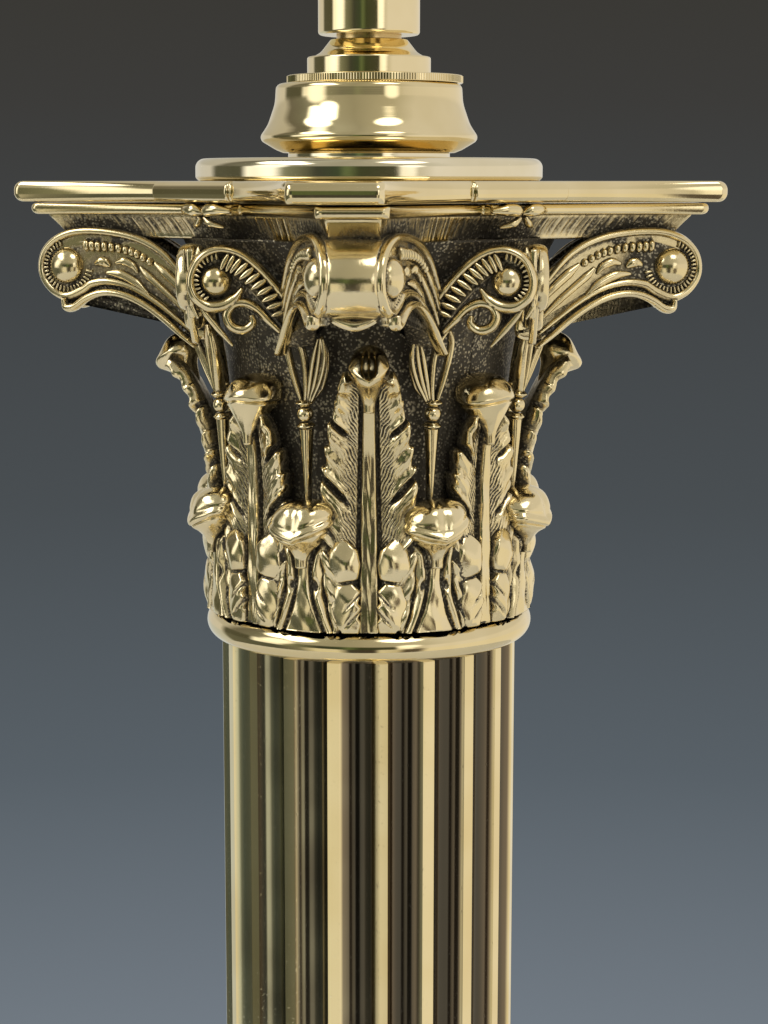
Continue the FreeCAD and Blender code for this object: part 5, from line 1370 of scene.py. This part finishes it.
ring_low, ring_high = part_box("milled_ring")
low, high = ring_low.z / MM + 0.02, ring_high.z / MM - 0.02
to_one_side = ((ring_low.x + ring_high.x) / 2, (ring_low.y + ring_high.y) / 2, 0)
KNURL_RADIUS = (ring_high.x - ring_low.x) / 2 / MM - 0.22
ring_outline = rounded([(6.2, low, 0.1), (KNURL_RADIUS, low, 0.12), (KNURL_RADIUS, high, 0.12),
                        (6.2, high, 0.1)])
ring_points, ring_faces = skin(turned_rings(ring_outline, 160), around=True)
milled = mesh_object("milled_ring_body", ring_points + to_one_side, ring_faces, turned_brass, "milled_ring")
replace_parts(milled, "milled_ring")
tooth = bpy.data.meshes.new("tooth")
tooth_ring = [(KNURL_RADIUS - 0.1, -0.18), (KNURL_RADIUS + 0.05, -0.12), (KNURL_RADIUS + 0.09, 0.0),
              (KNURL_RADIUS + 0.05, 0.12), (KNURL_RADIUS - 0.1, 0.18)]
tooth_points, tooth_faces = skin([[(x, y, z) for x, y in tooth_ring] for z in (low + 0.12, high - 0.12)])
tooth.from_pydata([tuple(p) for p in tooth_points], [], tooth_faces)
knurl = nodes_to_mesh("milled_ring_teeth", round_axis, {"Count": 200, "First": 0.0}, tooth, turned_brass,
                      "milled_ring")
knurl.data.transform(Matrix.Translation(to_one_side))
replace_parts(knurl, "milled_ring")


# --- Threaded tube: drawn brass, which clamps the stack. A little of it shows between collar and neck. Its
# fine rolled thread isn't modelled.

tube_brass = brass("aged_tube_brass", tone=(0.62, 0.45, 0.20), rough=0.22, wave=0.01, grain=0.01)
finish_cad_node("threaded_tube", tube_brass)


# --- Lampholder: a neck and dome of spun brass, and CAD's own sleeve and rings, all polished like the
# turned pieces.

neck_low, dome_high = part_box("holder_cap")
foot, top = neck_low.z / MM, dome_high.z / MM
turned_piece("holder_dome", [
    (5.1, foot, 0.2), (7.8, foot, 0.5), (7.8, foot + 8.2, 0.3), (8.6, foot + 8.6, 0.4),
    (8.6, foot + 10.0, 0.6), (9.4, foot + 13.0, 6.0), (16.5, foot + 15.0, 5.0), (16.5, top, 0.1),
    (15.5, top, 0.1), (15.5, foot + 17.5, 3.0), (8.0, foot + 12.2, 1.0), (5.1, foot + 11.2, 0.3)],
    turned_brass, "holder_cap")

for node in ("holder_skirt", "locking_ring", "shade_ring"):
    finish_cad_node(node, turned_brass)


# --- Inside the lampholder: a core and a push bar of dark moulded plastic, springs of drawn steel wire that
# the plungers press together, and plungers, a bridge and screws of bare contact brass.

moulded, tree = new_material("dark_moulded_plastic")
place = tree.node("ShaderNodeTexCoord", output="Object")
flow = tree.noise(place, 260.0, 4.0)
fleck = tree.noise(place, 2400.0, 2.0)
brown = tree.mixed(flow, (0.016, 0.012, 0.010), (0.040, 0.028, 0.021))
gloss = 0.28 + fleck * 0.16
tree.surface({"Base Color": brown, "Roughness": gloss, "Normal": tree.bump(fleck * 0.01)})
spring_wire = grained_metal(
    "spring_wire", (0.55, 0.55, 0.56), (0.38, 0.38, 0.39), 1.0, 0.22, 1200, (1, 1, 0.2), 0.02)
contact = grained_metal(
    "contact_brass", (0.78, 0.60, 0.32), (0.62, 0.46, 0.22), 1.0, 0.26, 900, (1, 1, 0.3), 0.02)
for node in ("insulator_core", "switch_bar"):
    finish_cad_node(node, moulded)
for side in ("left", "right"):
    foot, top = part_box(f"plunger_spring_{side}")
    wire, coil, turns = 0.3, 1.45, 4
    middle, low, high = (foot.x + top.x) / 2 / MM, foot.z / MM + wire, top.z / MM - wire
    wire_rings = []
    for along in np.linspace(0, 1, 24 * turns + 1):
        angle = along * turns * 2 * math.pi
        outward = np.array([math.cos(angle), math.sin(angle), 0])
        centre = outward * coil + (middle, 0, low + (high - low) * along)
        section = [i * math.pi / 5 for i in range(10)]
        wire_rings.append([centre + wire * (outward * math.cos(a) + (0, 0, math.sin(a))) for a in section])
    wire_points, wire_faces = skin(wire_rings)
    spring = mesh_object(f"coil_{side}", wire_points, wire_faces, spring_wire, None)
    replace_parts(spring, f"plunger_spring_{side}")
    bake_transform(spring)
for node in ("plunger_left", "plunger_right", "switch_bridge", "terminal_screws"):
    finish_cad_node(node, contact)
